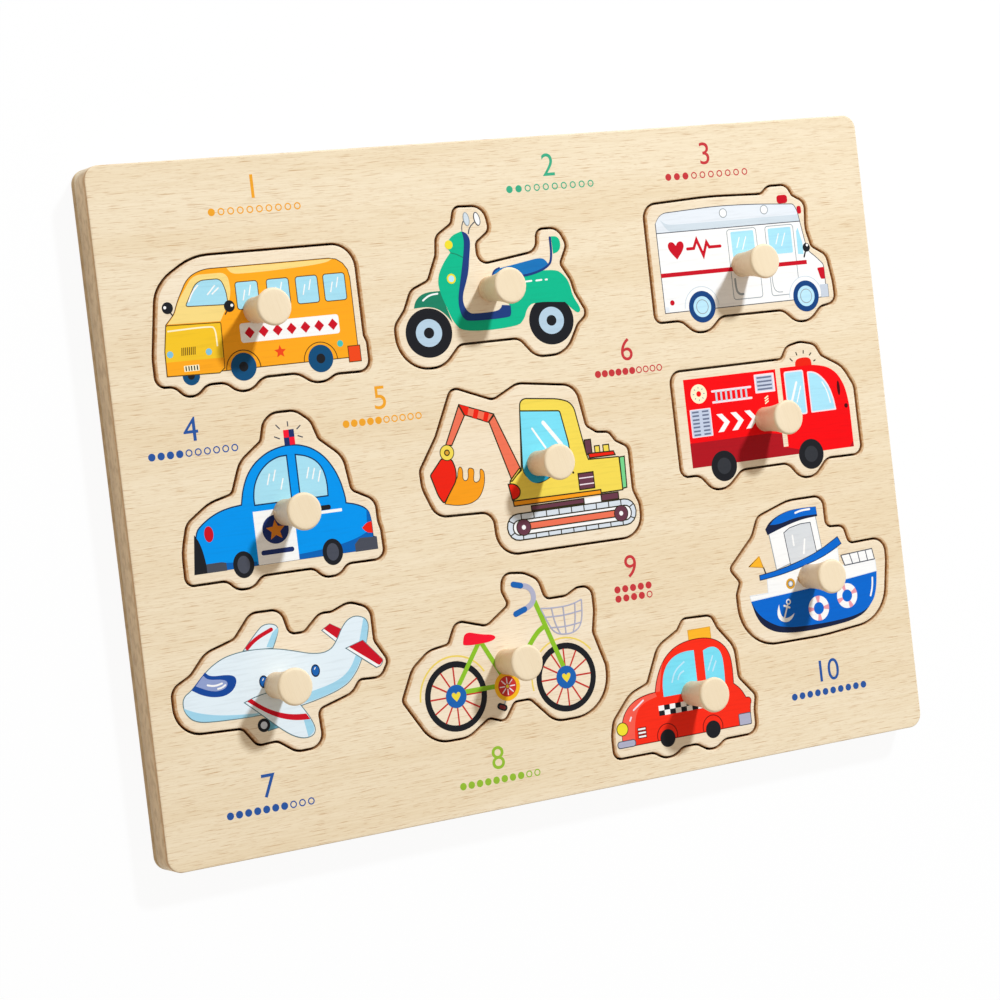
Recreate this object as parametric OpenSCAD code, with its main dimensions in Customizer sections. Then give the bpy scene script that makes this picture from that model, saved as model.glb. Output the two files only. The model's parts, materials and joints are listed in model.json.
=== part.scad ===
// A wooden peg puzzle: ten flat vehicle plates, each with a turned peg to
// hold it by, lie in openings cut to their own outlines in a wooden board.
// The board lies flat, face up. The origin is under its middle, +X runs along
// its length, +Y along its width and +Z up along the pegs. Millimetres.

/* [Board] */
// Length of the board, along X
board_length = 300; // [240:1:400]
// Width of the board, along Y
board_width = 225; // [180:1:300]
// Thickness of the pierced sheet, from which the plates are cut as well
sheet_thickness = 9; // [7:0.5:15]
// Thickness of the backing sheet that closes the openings underneath
backing_thickness = 3; // [2:0.5:8]
// Radius of the four corners of the board, seen from above
corner_radius = 5; // [1:0.5:8]
// Gap left by the saw all round each plate
cut_gap = 0.8; // [0.3:0.1:1]

/* [Pegs] */
// Height of a peg above its plate
peg_height = 15; // [10:0.5:25]
// Diameter of a peg across its top
peg_top_d = 12.2; // [10:0.1:16]
// Diameter of a peg at its foot
peg_foot_d = 8.6; // [7:0.1:9.5]
// Depth to which the side of a peg is hollowed behind a straight cone
peg_hollow = 0.5; // [0.1:0.1:0.8]
// Radius of the rounded edge round the top of a peg
peg_edge_r = 0.9; // [0.3:0.1:1.5]
// Diameter of the tenon under a peg
tenon_d = 5; // [3:0.5:6]
// Length of the tenon under a peg
tenon_length = 6; // [3:0.5:6]
// Room for glue round the tenon and under its end
glue_gap = 0.1; // [0.05:0.05:0.3]

/* [Hidden] */
$fn = 64;
sheet_bottom = backing_thickness;
sheet_top = backing_thickness + sheet_thickness;
board_left = -board_length / 2;
board_right = board_length / 2;
board_front = -board_width / 2;
board_back = board_width / 2;
through = 1; // how far a cutter runs past the face that it cuts
arc_step = 8; // widest angle between two points of a rounded corner
beech = [0.93, 0.86, 0.73];
peg_beech = [0.95, 0.88, 0.76];

// The plates as drawn for a board of this length and width. An outline is the
// plate's corners in order, counter-clockwise, as [x, y, radius of the rounded
// corner] from its lower left corner. A place is that corner on the board,
// from the board's middle, and a peg's place is on its plate.
drawn_board = [300, 225];
school_bus_outline = [
    [0, 4.2, 3.2], [6, 4.1, 5], [9.6, 0.5, 4], [13.4, 0.5, 4.5], [17, 3.7, 5.5],
    [23.8, 3.7, 6], [27.8, 0.4, 6], [32.4, 0.4, 6], [36.8, 4.2, 6.5], [49.6, 4.2, 8],
    [54.8, 0.6, 7], [59.4, 0.6, 7], [63, 2.7, 6], [75.4, 2.5, 3.5], [75.4, 11.6, 3],
    [74.5, 13.8, 3], [74.4, 44.3, 8], [17.4, 44.3, 20], [7, 38.2, 15], [3.2, 33.4, 11],
    [0, 13, 20]];
school_bus_place = [-134, 37];
school_bus_peg = [37, 25.5];
scooter_outline = [
    [0, 0, 11.4], [16.2, 0, 9], [23.2, 6.9, 4.5], [46.6, 6.9, 5], [52.4, 0, 7],
    [64, 0, 9], [69.8, 9.4, 4], [74, 12.6, 2.6], [70, 20, 6], [68.9, 24.6, 6],
    [65.4, 30.4, 2.2], [68.8, 36.6, 3], [66.2, 42.4, 4.5], [58.2, 42.5, 2.6],
    [57.4, 35.1, 4.5], [33.4, 32, 4.2], [33.5, 40.2, 2.5], [39.2, 44, 2.8],
    [38, 51.9, 5], [27.2, 52.3, 2.6], [25.6, 46.8, 3], [19.2, 43, 3.5], [18.4, 36.8, 5],
    [14.3, 28.4, 3], [7.4, 25.8, 4.5], [4.2, 19.4, 5], [0, 14.6, 4.6]];
scooter_place = [-47, 38];
scooter_peg = [37, 24];
ambulance_outline = [
    [0, 4.9, 2.6], [10.6, 4.9, 6], [16, 0.2, 6.5], [21.8, 0.2, 6.5], [27.4, 5, 6],
    [54.4, 4.9, 6], [59.6, 0.2, 6.5], [65.4, 0.2, 6.5], [70.6, 4.8, 5], [77.2, 5.9, 3],
    [77, 13, 12], [75.4, 22.6, 4], [69.3, 26.2, 3], [67.5, 33, 10], [68.4, 42.2, 3.5],
    [63.3, 45, 2], [61.2, 48.8, 3.4], [53.6, 48.8, 4], [50.4, 46.2, 3], [28, 46.8, 90],
    [0.2, 45.6, 5]];
ambulance_place = [55, 40];
ambulance_peg = [38.5, 22];
police_car_outline = [
    [0, 3.5, 2.6], [14, 3.5, 4.5], [17.4, 0.1, 5], [22.6, 0.1, 5], [26.2, 3.6, 4.5],
    [45, 3.5, 4.5], [48.4, 0.1, 5], [53.6, 0.1, 5], [57, 3.5, 4.5], [70.6, 3.4, 3.2],
    [70.4, 12.6, 6], [69.6, 15.6, 6], [69.6, 22.4, 4.5], [61.3, 26.6, 3.2], [59.7, 38, 8],
    [51.6, 44.7, 3], [49.5, 50.9, 5], [44.6, 54.6, 6], [36.4, 54.6, 6], [33.2, 51.8, 4.5],
    [31.6, 46, 3], [23.4, 40.2, 9], [19.4, 30.2, 3.2], [11, 28.2, 14], [2.6, 22.6, 5],
    [0.1, 14, 20]];
police_car_place = [-132, -26];
police_car_peg = [37, 22.5];
excavator_outline = [
    [26.2, 0.4, 8], [83.2, 0.2, 7.5], [83.3, 11, 5], [81.2, 16, 6], [81.3, 31, 2.6],
    [76.6, 33.5, 2.4], [74.2, 36.8, 2.2], [69.6, 37.2, 3], [65.4, 40, 2.8], [62.9, 54.2, 6],
    [40.6, 57, 7], [30.6, 52.3, 4.5], [15.2, 58.2, 3], [7.3, 42.4, 8], [0, 32, 3],
    [0.1, 26.4, 10], [4.2, 16.4, 6], [25.9, 15.6, 5]];
excavator_place = [-44, -28];
excavator_peg = [45, 29.5];
fire_truck_outline = [
    [0.4, 6.2, 3], [8, 6.2, 5], [13, 0.4, 6], [18.8, 0.4, 6.5], [25.8, 6.2, 6],
    [46, 6.2, 5], [51, 0.3, 6], [57, 0.3, 6], [63, 6.2, 5.5], [78.4, 6, 3.2],
    [78.2, 30.6, 6], [73.9, 37.9, 9], [65.2, 42.6, 3], [62.9, 46.8, 3.5], [57, 48.2, 8],
    [50.8, 47, 4.6], [48.2, 42.7, 2.4], [0.4, 42.6, 4]];
fire_truck_place = [58, -16];
fire_truck_peg = [38, 22.5];
ship_outline = [
    [0.9, 0, 14.8], [36, -0.1, 60], [63.2, 2.3, 14], [66.8, 23, 14], [67, 31, 4.6],
    [51.2, 30.6, 3], [49.4, 37.4, 2.5], [41.8, 37.8, 3], [41.7, 49.2, 3.4], [27, 49.2, 20],
    [13.2, 45, 4], [10, 38.4, 8], [-0.8, 28.4, 1.5], [3, 23.4, 2.2], [0.9, 18.9, 3]];
ship_place = [75, -73];
ship_peg = [32, 21.5];
airplane_outline = [
    [-0.4, 11.8, 9], [22.2, 10.8, 3], [26.8, 4.6, 2.8], [33.8, 4.9, 4], [40.2, 0.4, 6],
    [49.6, 0.6, 4.5], [49, 12.6, 3], [62, 16.2, 6], [65.2, 20.2, 3], [73.2, 19.8, 3.6],
    [76.2, 24.6, 2.4], [72, 31.6, 4], [72, 42.4, 4.2], [65, 45.2, 6], [58.2, 42.8, 4],
    [54, 43, 5], [47.8, 37.7, 3], [42, 37.7, 3.4], [39.9, 46.2, 4], [29.6, 46.4, 5],
    [23, 38.9, 5], [12.4, 35.9, 9], [6.6, 29.6, 8], [-0.4, 26.2, 4.4]];
airplane_place = [-141, -81];
airplane_peg = [35.5, 22.5];
bicycle_outline = [
    [-0.5, 15.2, 1.8], [9, -0.2, 11], [22.2, -0.2, 9], [30.8, 5.1, 3], [36.6, 3, 2.2],
    [41, 8.9, 3], [47.6, 8.9, 3.2], [56.4, -0.2, 8], [78.2, -0.2, 13.6], [78.2, 15.6, 5],
    [74.5, 27.6, 3.5], [76, 35, 10], [76, 43.2, 3.2], [70.6, 43.1, 3], [66, 40.9, 5],
    [57.4, 40.9, 3.2], [55.4, 48.2, 4.6], [50.4, 50.9, 8], [42.3, 51.8, 3.4],
    [41.5, 46.4, 2.8], [43.7, 41.2, 2.4], [34, 35, 4], [22.6, 38.4, 3.4], [18.8, 31, 2.4],
    [11.2, 30, 9], [4.4, 25, 8]];
bicycle_place = [-60, -86];
bicycle_peg = [39.5, 22.5];
taxi_outline = [
    [0, 2.8, 2.8], [16, 2.8, 5], [20, 0.3, 6], [24, 0.3, 6], [28, 2.9, 5], [34.2, 2.9, 5],
    [38.4, 0.3, 5], [41.8, 0.3, 5], [45.8, 2.8, 5], [59, 2.8, 3.6], [59.1, 11, 8],
    [60.3, 15.8, 2.4], [54, 23, 3.4], [53.6, 34, 8], [47.4, 41.6, 3], [45.4, 46.1, 2.6],
    [34, 46.5, 2.8], [31.2, 42.8, 2.4], [22.4, 38.4, 8], [16.6, 26.3, 2.6], [9, 23.7, 10],
    [1.4, 15.6, 5], [0.1, 11, 10]];
taxi_place = [18, -106];
taxi_peg = [34, 20.5];

// Each vehicle: name, outline, place, place of its peg and main painted colour.
VEHICLES = [
    ["school_bus", school_bus_outline, school_bus_place, school_bus_peg, "orange"],
    ["scooter", scooter_outline, scooter_place, scooter_peg, "mediumseagreen"],
    ["ambulance", ambulance_outline, ambulance_place, ambulance_peg, "white"],
    ["police_car", police_car_outline, police_car_place, police_car_peg, "dodgerblue"],
    ["excavator", excavator_outline, excavator_place, excavator_peg, "gold"],
    ["fire_truck", fire_truck_outline, fire_truck_place, fire_truck_peg, "red"],
    ["ship", ship_outline, ship_place, ship_peg, "royalblue"],
    ["airplane", airplane_outline, airplane_place, airplane_peg, "aliceblue"],
    ["bicycle", bicycle_outline, bicycle_place, bicycle_peg, "yellowgreen"],
    ["taxi", taxi_outline, taxi_place, taxi_peg, "tomato"]];

// The plates keep their share of the board, and their shape.
along = board_length / drawn_board[0];
across = board_width / drawn_board[1];
plate_scale = min(along, across);

function vehicle_name(vehicle) = vehicle[0];
function vehicle_outline(vehicle) = vehicle[1] * plate_scale;
function vehicle_place(vehicle) = [vehicle[2][0] * along, vehicle[2][1] * across];
function vehicle_peg(vehicle) = vehicle[3] * plate_scale;
function vehicle_colour(vehicle) = vehicle[4];
function plate_node(vehicle) = str(vehicle_name(vehicle), "_plate");
function peg_node(vehicle) = str(vehicle_name(vehicle), "_peg");

// Plan geometry: a corner, its neighbours and the arc that rounds it.
function place_of(corner) = [corner[0], corner[1]];
function radius_of(corner) = corner[2];
function unit(v) = v / norm(v);
function before(points, i) = place_of(points[(i + len(points) - 1) % len(points)]);
function after(points, i) = place_of(points[(i + 1) % len(points)]);
function way_in(points, i) = unit(place_of(points[i]) - before(points, i));
function way_out(points, i) = unit(after(points, i) - place_of(points[i]));
function side(points, i) = sign(cross(way_in(points, i), way_out(points, i)));
function turn(points, i) = acos(way_in(points, i) * way_out(points, i));
function inward(points, i) = unit(way_out(points, i) - way_in(points, i));
function arc(points, i) =
    let (
        p = points[i],
        bend = turn(points, i),
        centre = place_of(p) + inward(points, i) * radius_of(p) / cos(bend / 2),
        first = atan2(-inward(points, i)[1], -inward(points, i)[0]) - side(points, i) * bend / 2,
        steps = ceil(bend / arc_step))
    [for (k = [0 : steps])
        let (angle = first + side(points, i) * bend * k / steps)
        centre + radius_of(p) * [cos(angle), sin(angle)]];

// The same outline, moved outwards by gap all round and still rounded in step.
function grown(points, gap) = [for (i = [0 : len(points) - 1])
    let (
        shift = inward(points, i) * gap / cos(turn(points, i) / 2),
        moved = place_of(points[i]) - side(points, i) * shift)
    [moved[0], moved[1], radius_of(points[i]) + side(points, i) * gap]];

module rounded_outline(points) {
    polygon([for (i = [0 : len(points) - 1]) each arc(points, i)]);
}

module board_outline() {
    rounded_outline([
        [board_left, board_front, corner_radius],
        [board_right, board_front, corner_radius],
        [board_right, board_back, corner_radius],
        [board_left, board_back, corner_radius]]);
}

// The plain sheet glued under the tray, on which the plates lie.
module back_board() {
    color(beech) linear_extrude(backing_thickness) board_outline();
}

// The thick sheet with an opening for each plate.
module tray_board() {
    color(beech) difference() {
        translate([0, 0, sheet_bottom]) linear_extrude(sheet_thickness) board_outline();
        for (vehicle = VEHICLES)
            translate(vehicle_place(vehicle))
                translate([0, 0, sheet_bottom - through])
                    linear_extrude(sheet_thickness + 2 * through)
                        rounded_outline(grown(vehicle_outline(vehicle), cut_gap));
    }
}

// A plate cut from the same sheet, with a blind hole for its peg's tenon.
module plate(vehicle) {
    hole_depth = tenon_length + glue_gap;
    color(vehicle_colour(vehicle)) difference() {
        translate(vehicle_place(vehicle))
            translate([0, 0, sheet_bottom])
                linear_extrude(sheet_thickness) rounded_outline(vehicle_outline(vehicle));
        translate(vehicle_place(vehicle) + vehicle_peg(vehicle))
            translate([0, 0, sheet_top - hole_depth])
                cylinder(d = tenon_d + 2 * glue_gap, h = hole_depth + through);
    }
}

// Half of a peg's section: the flared side is an arc that bows in by
// peg_hollow between the foot and the rounded edge of the top.
module peg_section() {
    foot = [peg_foot_d / 2, 0];
    shoulder = [peg_top_d / 2, peg_height - peg_edge_r];
    chord = shoulder - foot;
    outward = unit([chord[1], -chord[0]]);
    side_r = (pow(norm(chord) / 2, 2) + pow(peg_hollow, 2)) / (2 * peg_hollow);
    side_centre = (foot + shoulder) / 2 + outward * (side_r - peg_hollow);
    difference() {
        polygon([[0, 0], foot, shoulder, [0, shoulder[1]]]);
        translate(side_centre) circle(r = side_r, $fn = 256);
    }
    intersection() {
        translate([shoulder[0] - peg_edge_r, shoulder[1]]) circle(r = peg_edge_r);
        translate([0, shoulder[1]]) square([shoulder[0], peg_edge_r]);
    }
    translate([0, shoulder[1]]) square([shoulder[0] - peg_edge_r, peg_edge_r]);
    translate([0, -tenon_length]) square([tenon_d / 2, tenon_length]);
}

module peg(vehicle) {
    color(peg_beech)
        translate(vehicle_place(vehicle) + vehicle_peg(vehicle))
            translate([0, 0, sheet_top])
                rotate_extrude() peg_section();
}

back_board();
tray_board();
for (vehicle = VEHICLES) {
    plate(vehicle);
    peg(vehicle);
}
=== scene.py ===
# %% [markdown]
# # A wooden peg puzzle
# Ten vehicle plates lie in openings sawn to their outlines in a beech board, and each is lifted out
# by a turned peg. The sizes come from the frame, so this lesson is about looks: softened and
# browned wood edges, turned pegs, and ten pictures printed in flat colours. We load the frame,
# set the camera where the photographer stood, and then work from the board up.

# %% Load the frame
import json
import math

import bmesh
import bpy
from mathutils import Matrix, Vector

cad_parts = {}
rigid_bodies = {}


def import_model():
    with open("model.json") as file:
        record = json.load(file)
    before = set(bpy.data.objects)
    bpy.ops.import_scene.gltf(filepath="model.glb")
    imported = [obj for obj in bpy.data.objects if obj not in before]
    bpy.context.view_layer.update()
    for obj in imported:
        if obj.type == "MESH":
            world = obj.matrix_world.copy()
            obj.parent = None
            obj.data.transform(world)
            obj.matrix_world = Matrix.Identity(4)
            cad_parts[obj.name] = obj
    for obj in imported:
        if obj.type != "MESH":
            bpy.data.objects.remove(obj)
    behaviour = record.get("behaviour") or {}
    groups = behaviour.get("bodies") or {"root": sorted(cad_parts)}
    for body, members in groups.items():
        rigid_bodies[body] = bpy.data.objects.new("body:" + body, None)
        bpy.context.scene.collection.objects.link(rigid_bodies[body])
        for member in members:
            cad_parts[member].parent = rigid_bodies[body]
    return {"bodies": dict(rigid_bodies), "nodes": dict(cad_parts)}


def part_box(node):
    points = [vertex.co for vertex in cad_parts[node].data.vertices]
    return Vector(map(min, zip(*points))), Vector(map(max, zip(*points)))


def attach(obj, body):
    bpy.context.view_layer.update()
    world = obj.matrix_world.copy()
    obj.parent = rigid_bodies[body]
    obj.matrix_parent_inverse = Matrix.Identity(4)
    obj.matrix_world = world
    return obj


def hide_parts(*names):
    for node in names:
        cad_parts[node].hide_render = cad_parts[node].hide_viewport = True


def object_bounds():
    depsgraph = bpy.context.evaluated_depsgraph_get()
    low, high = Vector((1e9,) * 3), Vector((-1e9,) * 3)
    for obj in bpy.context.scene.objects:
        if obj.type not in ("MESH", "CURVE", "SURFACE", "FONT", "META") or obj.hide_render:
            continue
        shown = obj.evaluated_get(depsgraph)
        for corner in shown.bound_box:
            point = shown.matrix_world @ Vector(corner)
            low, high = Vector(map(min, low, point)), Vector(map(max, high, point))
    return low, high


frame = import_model()
cad_low, cad_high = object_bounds()
scene = bpy.context.scene
scene.view_settings.view_transform = "Standard"

MM = 0.001
MERGE_DISTANCE = 0.005 * MM
UP = Vector((0, 0, 1))
VEHICLES = [body for body in frame["bodies"] if body != "board"]
face_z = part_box("tray_board")[1].z
print(f"{len(frame['nodes'])} nodes, {len(VEHICLES)} vehicles, face at {face_z / MM:.1f} mm")

# %% [markdown]
# ## The camera
# The board lies on its back, and the camera looks down on it from the left with a long lens. The
# four corners of the board fix where the camera stands and where it looks. What is left is a small
# roll about the line of sight, so the camera's axes are built by hand from these three things.

# %% Place the camera
PICTURE_WIDTH = 1000
FOCAL_LENGTH_PIXELS = 2820
CAMERA_AT = Vector((-0.4788, 0.0265, 0.8438))
LOOKS_AT = Vector((-0.0154, -0.0091, face_z))
ROLL = math.radians(6.69)


def rolled_view(place, target, roll):
    """The matrix of a camera at place that looks at target, with the board's +Y up, then rolled."""
    ahead = (target - place).normalized()
    right = ahead.cross(Vector((0, 1, 0))).normalized()
    up = right.cross(ahead)
    turned_right = right * math.cos(roll) - up * math.sin(roll)
    turned_up = up * math.cos(roll) + right * math.sin(roll)
    axes = Matrix((turned_right, turned_up, -ahead)).transposed().to_4x4()
    return Matrix.Translation(place) @ axes


camera_data = bpy.data.cameras.new("camera")
camera_data.sensor_width = 36
camera_data.lens = camera_data.sensor_width * FOCAL_LENGTH_PIXELS / PICTURE_WIDTH
camera = bpy.data.objects.new("camera", camera_data)
camera.matrix_world = rolled_view(CAMERA_AT, LOOKS_AT, ROLL)
scene.collection.objects.link(camera)
scene.camera = camera
print(f"lens {camera_data.lens:.1f} mm, {(LOOKS_AT - CAMERA_AT).length:.3f} m from the face")

# %% [markdown]
# ## Shader helpers
# Node trees are easier to read when one line makes a node, sets it and links it. A value in the
# inputs that is itself a socket becomes a link, and anything else becomes the input's own value.

# %% Shader helpers
def add_node(tree, kind, inputs=None, **properties):
    """Adds a node of that kind, sets its properties, and sets or links its inputs."""
    node = tree.nodes.new(kind)
    for name, value in properties.items():
        setattr(node, name, value)
    for socket, value in (inputs or {}).items():
        if isinstance(value, bpy.types.NodeSocket):
            tree.links.new(value, node.inputs[socket])
        else:
            node.inputs[socket].default_value = value
    return node


def new_group(name, inputs, outputs):
    """An empty shader group with named sockets: its tree, its input node and its output node."""
    tree = bpy.data.node_groups.new(name, "ShaderNodeTree")
    for socket, kind in inputs.items():
        tree.interface.new_socket(socket, in_out="INPUT", socket_type="NodeSocket" + kind)
    for socket, kind in outputs.items():
        tree.interface.new_socket(socket, in_out="OUTPUT", socket_type="NodeSocket" + kind)
    return tree, tree.nodes.new("NodeGroupInput"), tree.nodes.new("NodeGroupOutput")


def mix_colours(tree, factor, first, second, blend="MIX"):
    """The colour output of a Mix node: first at factor 0 and second, or the blend, at factor 1."""
    inputs = {0: factor, 6: first, 7: second}
    return add_node(tree, "ShaderNodeMix", inputs, data_type="RGBA", blend_type=blend).outputs[2]


def stretched(tree, vector, cells_per_metre):
    """Coordinates scaled so that a pattern has that many cells along X, Y and Z of each metre."""
    inputs = {0: vector, 1: cells_per_metre}
    return add_node(tree, "ShaderNodeVectorMath", inputs, operation="MULTIPLY").outputs[0]


def ranged(tree, value, low, high, at_low, at_high):
    """A value that runs smoothly from at_low, where value is low, to at_high, where it is high."""
    inputs = {"Value": value, "From Min": low, "From Max": high, "To Min": at_low, "To Max": at_high}
    node = add_node(tree, "ShaderNodeMapRange", inputs, interpolation_type="SMOOTHSTEP")
    return node.outputs["Result"]


def arithmetic(tree, operation, first, second):
    """The result of a Math node on two values."""
    return add_node(tree, "ShaderNodeMath", {0: first, 1: second}, operation=operation).outputs[0]


def paint(code):
    """A colour written as six hexadecimal digits, as the linear colour that a shader takes."""
    channels = [int(code[i : i + 2], 16) / 255 for i in (0, 2, 4)]
    return [c / 12.92 if c <= 0.04045 else ((c + 0.055) / 1.055) ** 2.4 for c in channels] + [1]


print("shader helpers ready")

# %% [markdown]
# ## Beech
# Beech is pale, with hardly any figure: long faint bands, fine fibres, and the short brown flecks
# that give it away, a few millimetres long and a fifth of a millimetre wide. All of them run along
# the board, so the patterns are stretched along X. The board and the plates share their
# coordinates, so the grain runs on across every cut, as it does on plates sawn from one sheet. At
# the two ends of the board the fibres are cut across, and end grain is darker and mottled.

# %% Beech grain
BANDS_PER_METRE = (5, 75, 75)
FIBRES_PER_METRE = (60, 1900, 1900)
FLECKS_PER_METRE = (110, 3000, 3000)
PORES_PER_METRE = (330, 4800, 4800)
MOTTLES_PER_METRE = (400, 260, 520)
FLECK_BROWN = paint("C0935F")
BAND_TINT = (0.95, 0.92, 0.87, 1)
FIBRE_TINT = (0.94, 0.915, 0.875, 1)
END_TINT = (0.8, 0.7, 0.58, 1)
MOTTLED_END_TINT = (0.63, 0.52, 0.4, 1)

beech, given, result = new_group(
    "beech grain",
    {"Vector": "Vector", "Normal": "Vector", "Wood": "Color", "Figure": "Float", "Flecks": "Float"},
    {"Color": "Color", "Roughness": "Float", "Height": "Float"},
)


def grain_noise(cells_per_metre, detail):
    """Noise in the beech group, stretched along the grain."""
    vector = stretched(beech, given.outputs["Vector"], cells_per_metre)
    inputs = {"Vector": vector, "Scale": 1, "Detail": detail}
    return add_node(beech, "ShaderNodeTexNoise", inputs).outputs["Fac"]


bands = grain_noise(BANDS_PER_METRE, 2)
fibres = grain_noise(FIBRES_PER_METRE, 3)
flecks = ranged(beech, grain_noise(FLECKS_PER_METRE, 1), 0.6, 0.76, 0, 1)
pores = ranged(beech, grain_noise(PORES_PER_METRE, 1), 0.58, 0.76, 0, 0.5)
marks = arithmetic(beech, "MAXIMUM", flecks, pores)
mark_strength = arithmetic(beech, "MULTIPLY", marks, given.outputs["Flecks"])

figure = given.outputs["Figure"]
band_factor = arithmetic(beech, "MULTIPLY", ranged(beech, bands, 0.35, 0.7, 0, 1), figure)
banded = mix_colours(beech, band_factor, given.outputs["Wood"], BAND_TINT, "MULTIPLY")
fibre_factor = arithmetic(beech, "MULTIPLY", ranged(beech, fibres, 0.35, 0.75, 0, 1), figure)
fibred = mix_colours(beech, fibre_factor, banded, FIBRE_TINT, "MULTIPLY")
long_grain = mix_colours(beech, mark_strength, fibred, FLECK_BROWN)

mottle_factor = ranged(beech, grain_noise(MOTTLES_PER_METRE, 3), 0.42, 0.66, 0, 1)
mottled = mix_colours(beech, mottle_factor, END_TINT, MOTTLED_END_TINT)
end_grain = mix_colours(beech, 1, given.outputs["Wood"], mottled, "MULTIPLY")
facing = add_node(beech, "ShaderNodeSeparateXYZ", {0: given.outputs["Normal"]}).outputs["X"]
facing_along = add_node(beech, "ShaderNodeMath", {0: facing}, operation="ABSOLUTE").outputs[0]
at_the_end = ranged(beech, facing_along, 0.6, 0.9, 0, 1)
beech.links.new(mix_colours(beech, at_the_end, long_grain, end_grain), result.inputs["Color"])
beech.links.new(ranged(beech, fibres, 0.2, 0.8, 0.46, 0.62), result.inputs["Roughness"])
beech.links.new(arithmetic(beech, "SUBTRACT", fibres, marks), result.inputs["Height"])
print(f"beech grain: {len(beech.nodes)} nodes")

# %% [markdown]
# ## Browned and shaded edges
# The plates are cut out by a beam that scorches the wood, so every cut wall is brown and a thin
# halo fades out over the face beside it. The meshes below carry a value of burn and painted shade,
# which is 1 on a cut wall and 0 on clean wood. Besides the scorch it holds painted shade: darker
# deep in the cuts, on the rims of walls that face -X, under the board's outer edge and down the
# pegs. The group turns it into two steps of brown and breaks it up a little, because a scorched
# edge is never even.

# %% Browned and shaded edge
SCORCH_PER_METRE = (900, 900, 900)
TAN = paint("C49360")
SCORCHED_AND_SHADED = paint("9A6638")

burn_and_shade_group, given, result = new_group(
    "browned and shaded edge",
    {"Vector": "Vector", "Wood": "Color", "Burn and shade": "Float"},
    {"Color": "Color"},
)
uneven = add_node(
    burn_and_shade_group,
    "ShaderNodeTexNoise",
    {"Vector": stretched(burn_and_shade_group, given.outputs["Vector"], SCORCH_PER_METRE), "Scale": 1, "Detail": 2},
).outputs["Fac"]
unevenness = ranged(burn_and_shade_group, uneven, 0.3, 0.7, 0.75, 1.2)
burn_and_shade = arithmetic(burn_and_shade_group, "MULTIPLY", given.outputs["Burn and shade"], unevenness)
# Tan, then dark brown, by a value that is real scorch and painted shade together.
toasted_and_shaded = mix_colours(burn_and_shade_group, ranged(burn_and_shade_group, burn_and_shade, 0, 0.6, 0, 1), given.outputs["Wood"], TAN)
charred_and_shaded = mix_colours(burn_and_shade_group, ranged(burn_and_shade_group, burn_and_shade, 0.45, 1, 0, 1), toasted_and_shaded, SCORCHED_AND_SHADED)
burn_and_shade_group.links.new(charred_and_shaded, result.inputs["Color"])
print(f"browned and shaded edge: {len(burn_and_shade_group.nodes)} nodes")

# %% [markdown]
# ## The wood materials
# Board, backing, plates and pegs are the same beech in slightly different tones. The grain of a
# peg runs across its top at another angle, and its turned side is too smooth to show end grain, so
# only the flat pieces pass their normals on.

# %% Wood materials
WOOD_SHEEN = 0.2
GRAIN_STRENGTH = 0.3
GRAIN_DEPTH = 0.05 * MM
ALONG_THE_BOARD = (0, 0, 0)
ACROSS_THE_BOARD = (0, 0, math.radians(75))


def wood_material(name, tone, figure_share, flecks, grain_turn, sawn_ends):
    """Sanded, thinly varnished beech of one tone, browned where the mesh carries burn and painted shade.
    """
    material = bpy.data.materials.new(name)
    material.use_nodes = True
    tree = material.node_tree
    shader = tree.nodes["Principled BSDF"]
    shader.inputs["Specular IOR Level"].default_value = WOOD_SHEEN
    coordinates = add_node(tree, "ShaderNodeTexCoord")
    place = coordinates.outputs["Object"]
    turned = add_node(tree, "ShaderNodeMapping", {"Vector": place, "Rotation": grain_turn}).outputs[0]
    grain = add_node(tree, "ShaderNodeGroup", node_tree=beech)
    tree.links.new(turned, grain.inputs["Vector"])
    if sawn_ends:
        tree.links.new(coordinates.outputs["Normal"], grain.inputs["Normal"])
    grain.inputs["Wood"].default_value = paint(tone)
    grain.inputs["Figure"].default_value = figure_share
    grain.inputs["Flecks"].default_value = flecks
    edge = add_node(tree, "ShaderNodeGroup", node_tree=burn_and_shade_group)
    tree.links.new(place, edge.inputs["Vector"])
    tree.links.new(grain.outputs["Color"], edge.inputs["Wood"])
    burn_and_shade = add_node(tree, "ShaderNodeAttribute", attribute_name="burn_and_shade").outputs["Fac"]
    tree.links.new(burn_and_shade, edge.inputs["Burn and shade"])
    relief = {"Strength": GRAIN_STRENGTH, "Distance": GRAIN_DEPTH, "Height": grain.outputs["Height"]}
    bump = add_node(tree, "ShaderNodeBump", relief)
    tree.links.new(edge.outputs["Color"], shader.inputs["Base Color"])
    tree.links.new(grain.outputs["Roughness"], shader.inputs["Roughness"])
    tree.links.new(bump.outputs["Normal"], shader.inputs["Normal"])
    return material


tray_wood = wood_material("tray beech", "F3E2C4", 1, 0.75, ALONG_THE_BOARD, True)
backing_wood = wood_material("backing beech", "EEDCBB", 1, 0.75, ALONG_THE_BOARD, True)
plate_wood = wood_material("plate beech", "F6E6CC", 0.8, 0.5, ALONG_THE_BOARD, True)
peg_wood = wood_material("peg beech", "F3E0C0", 0.35, 0.1, ACROSS_THE_BOARD, False)
print("four woods ready")

# %% [markdown]
# ## Pieces
# Every piece made here ends in the same way: its bmesh becomes a mesh object at the origin, it
# rides on a body, and it may take the place of CAD nodes, which are then hidden.

# %% Adding a piece
SMOOTH_BELOW = math.radians(50)


def add_piece(shape, name, materials, body, slot, *nodes):
    """Turns a bmesh into a piece that rides on a body and stands for the given CAD nodes."""
    mesh = bpy.data.meshes.new(name)
    shape.to_mesh(mesh)
    shape.free()
    for material in materials:
        mesh.materials.append(material)
    mesh.shade_smooth()
    mesh.set_sharp_from_angle(angle=SMOOTH_BELOW)
    piece = bpy.data.objects.new(name, mesh)
    scene.collection.objects.link(piece)
    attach(piece, body)
    if nodes:
        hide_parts(*nodes)
    return piece


print("pieces can be added")
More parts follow.
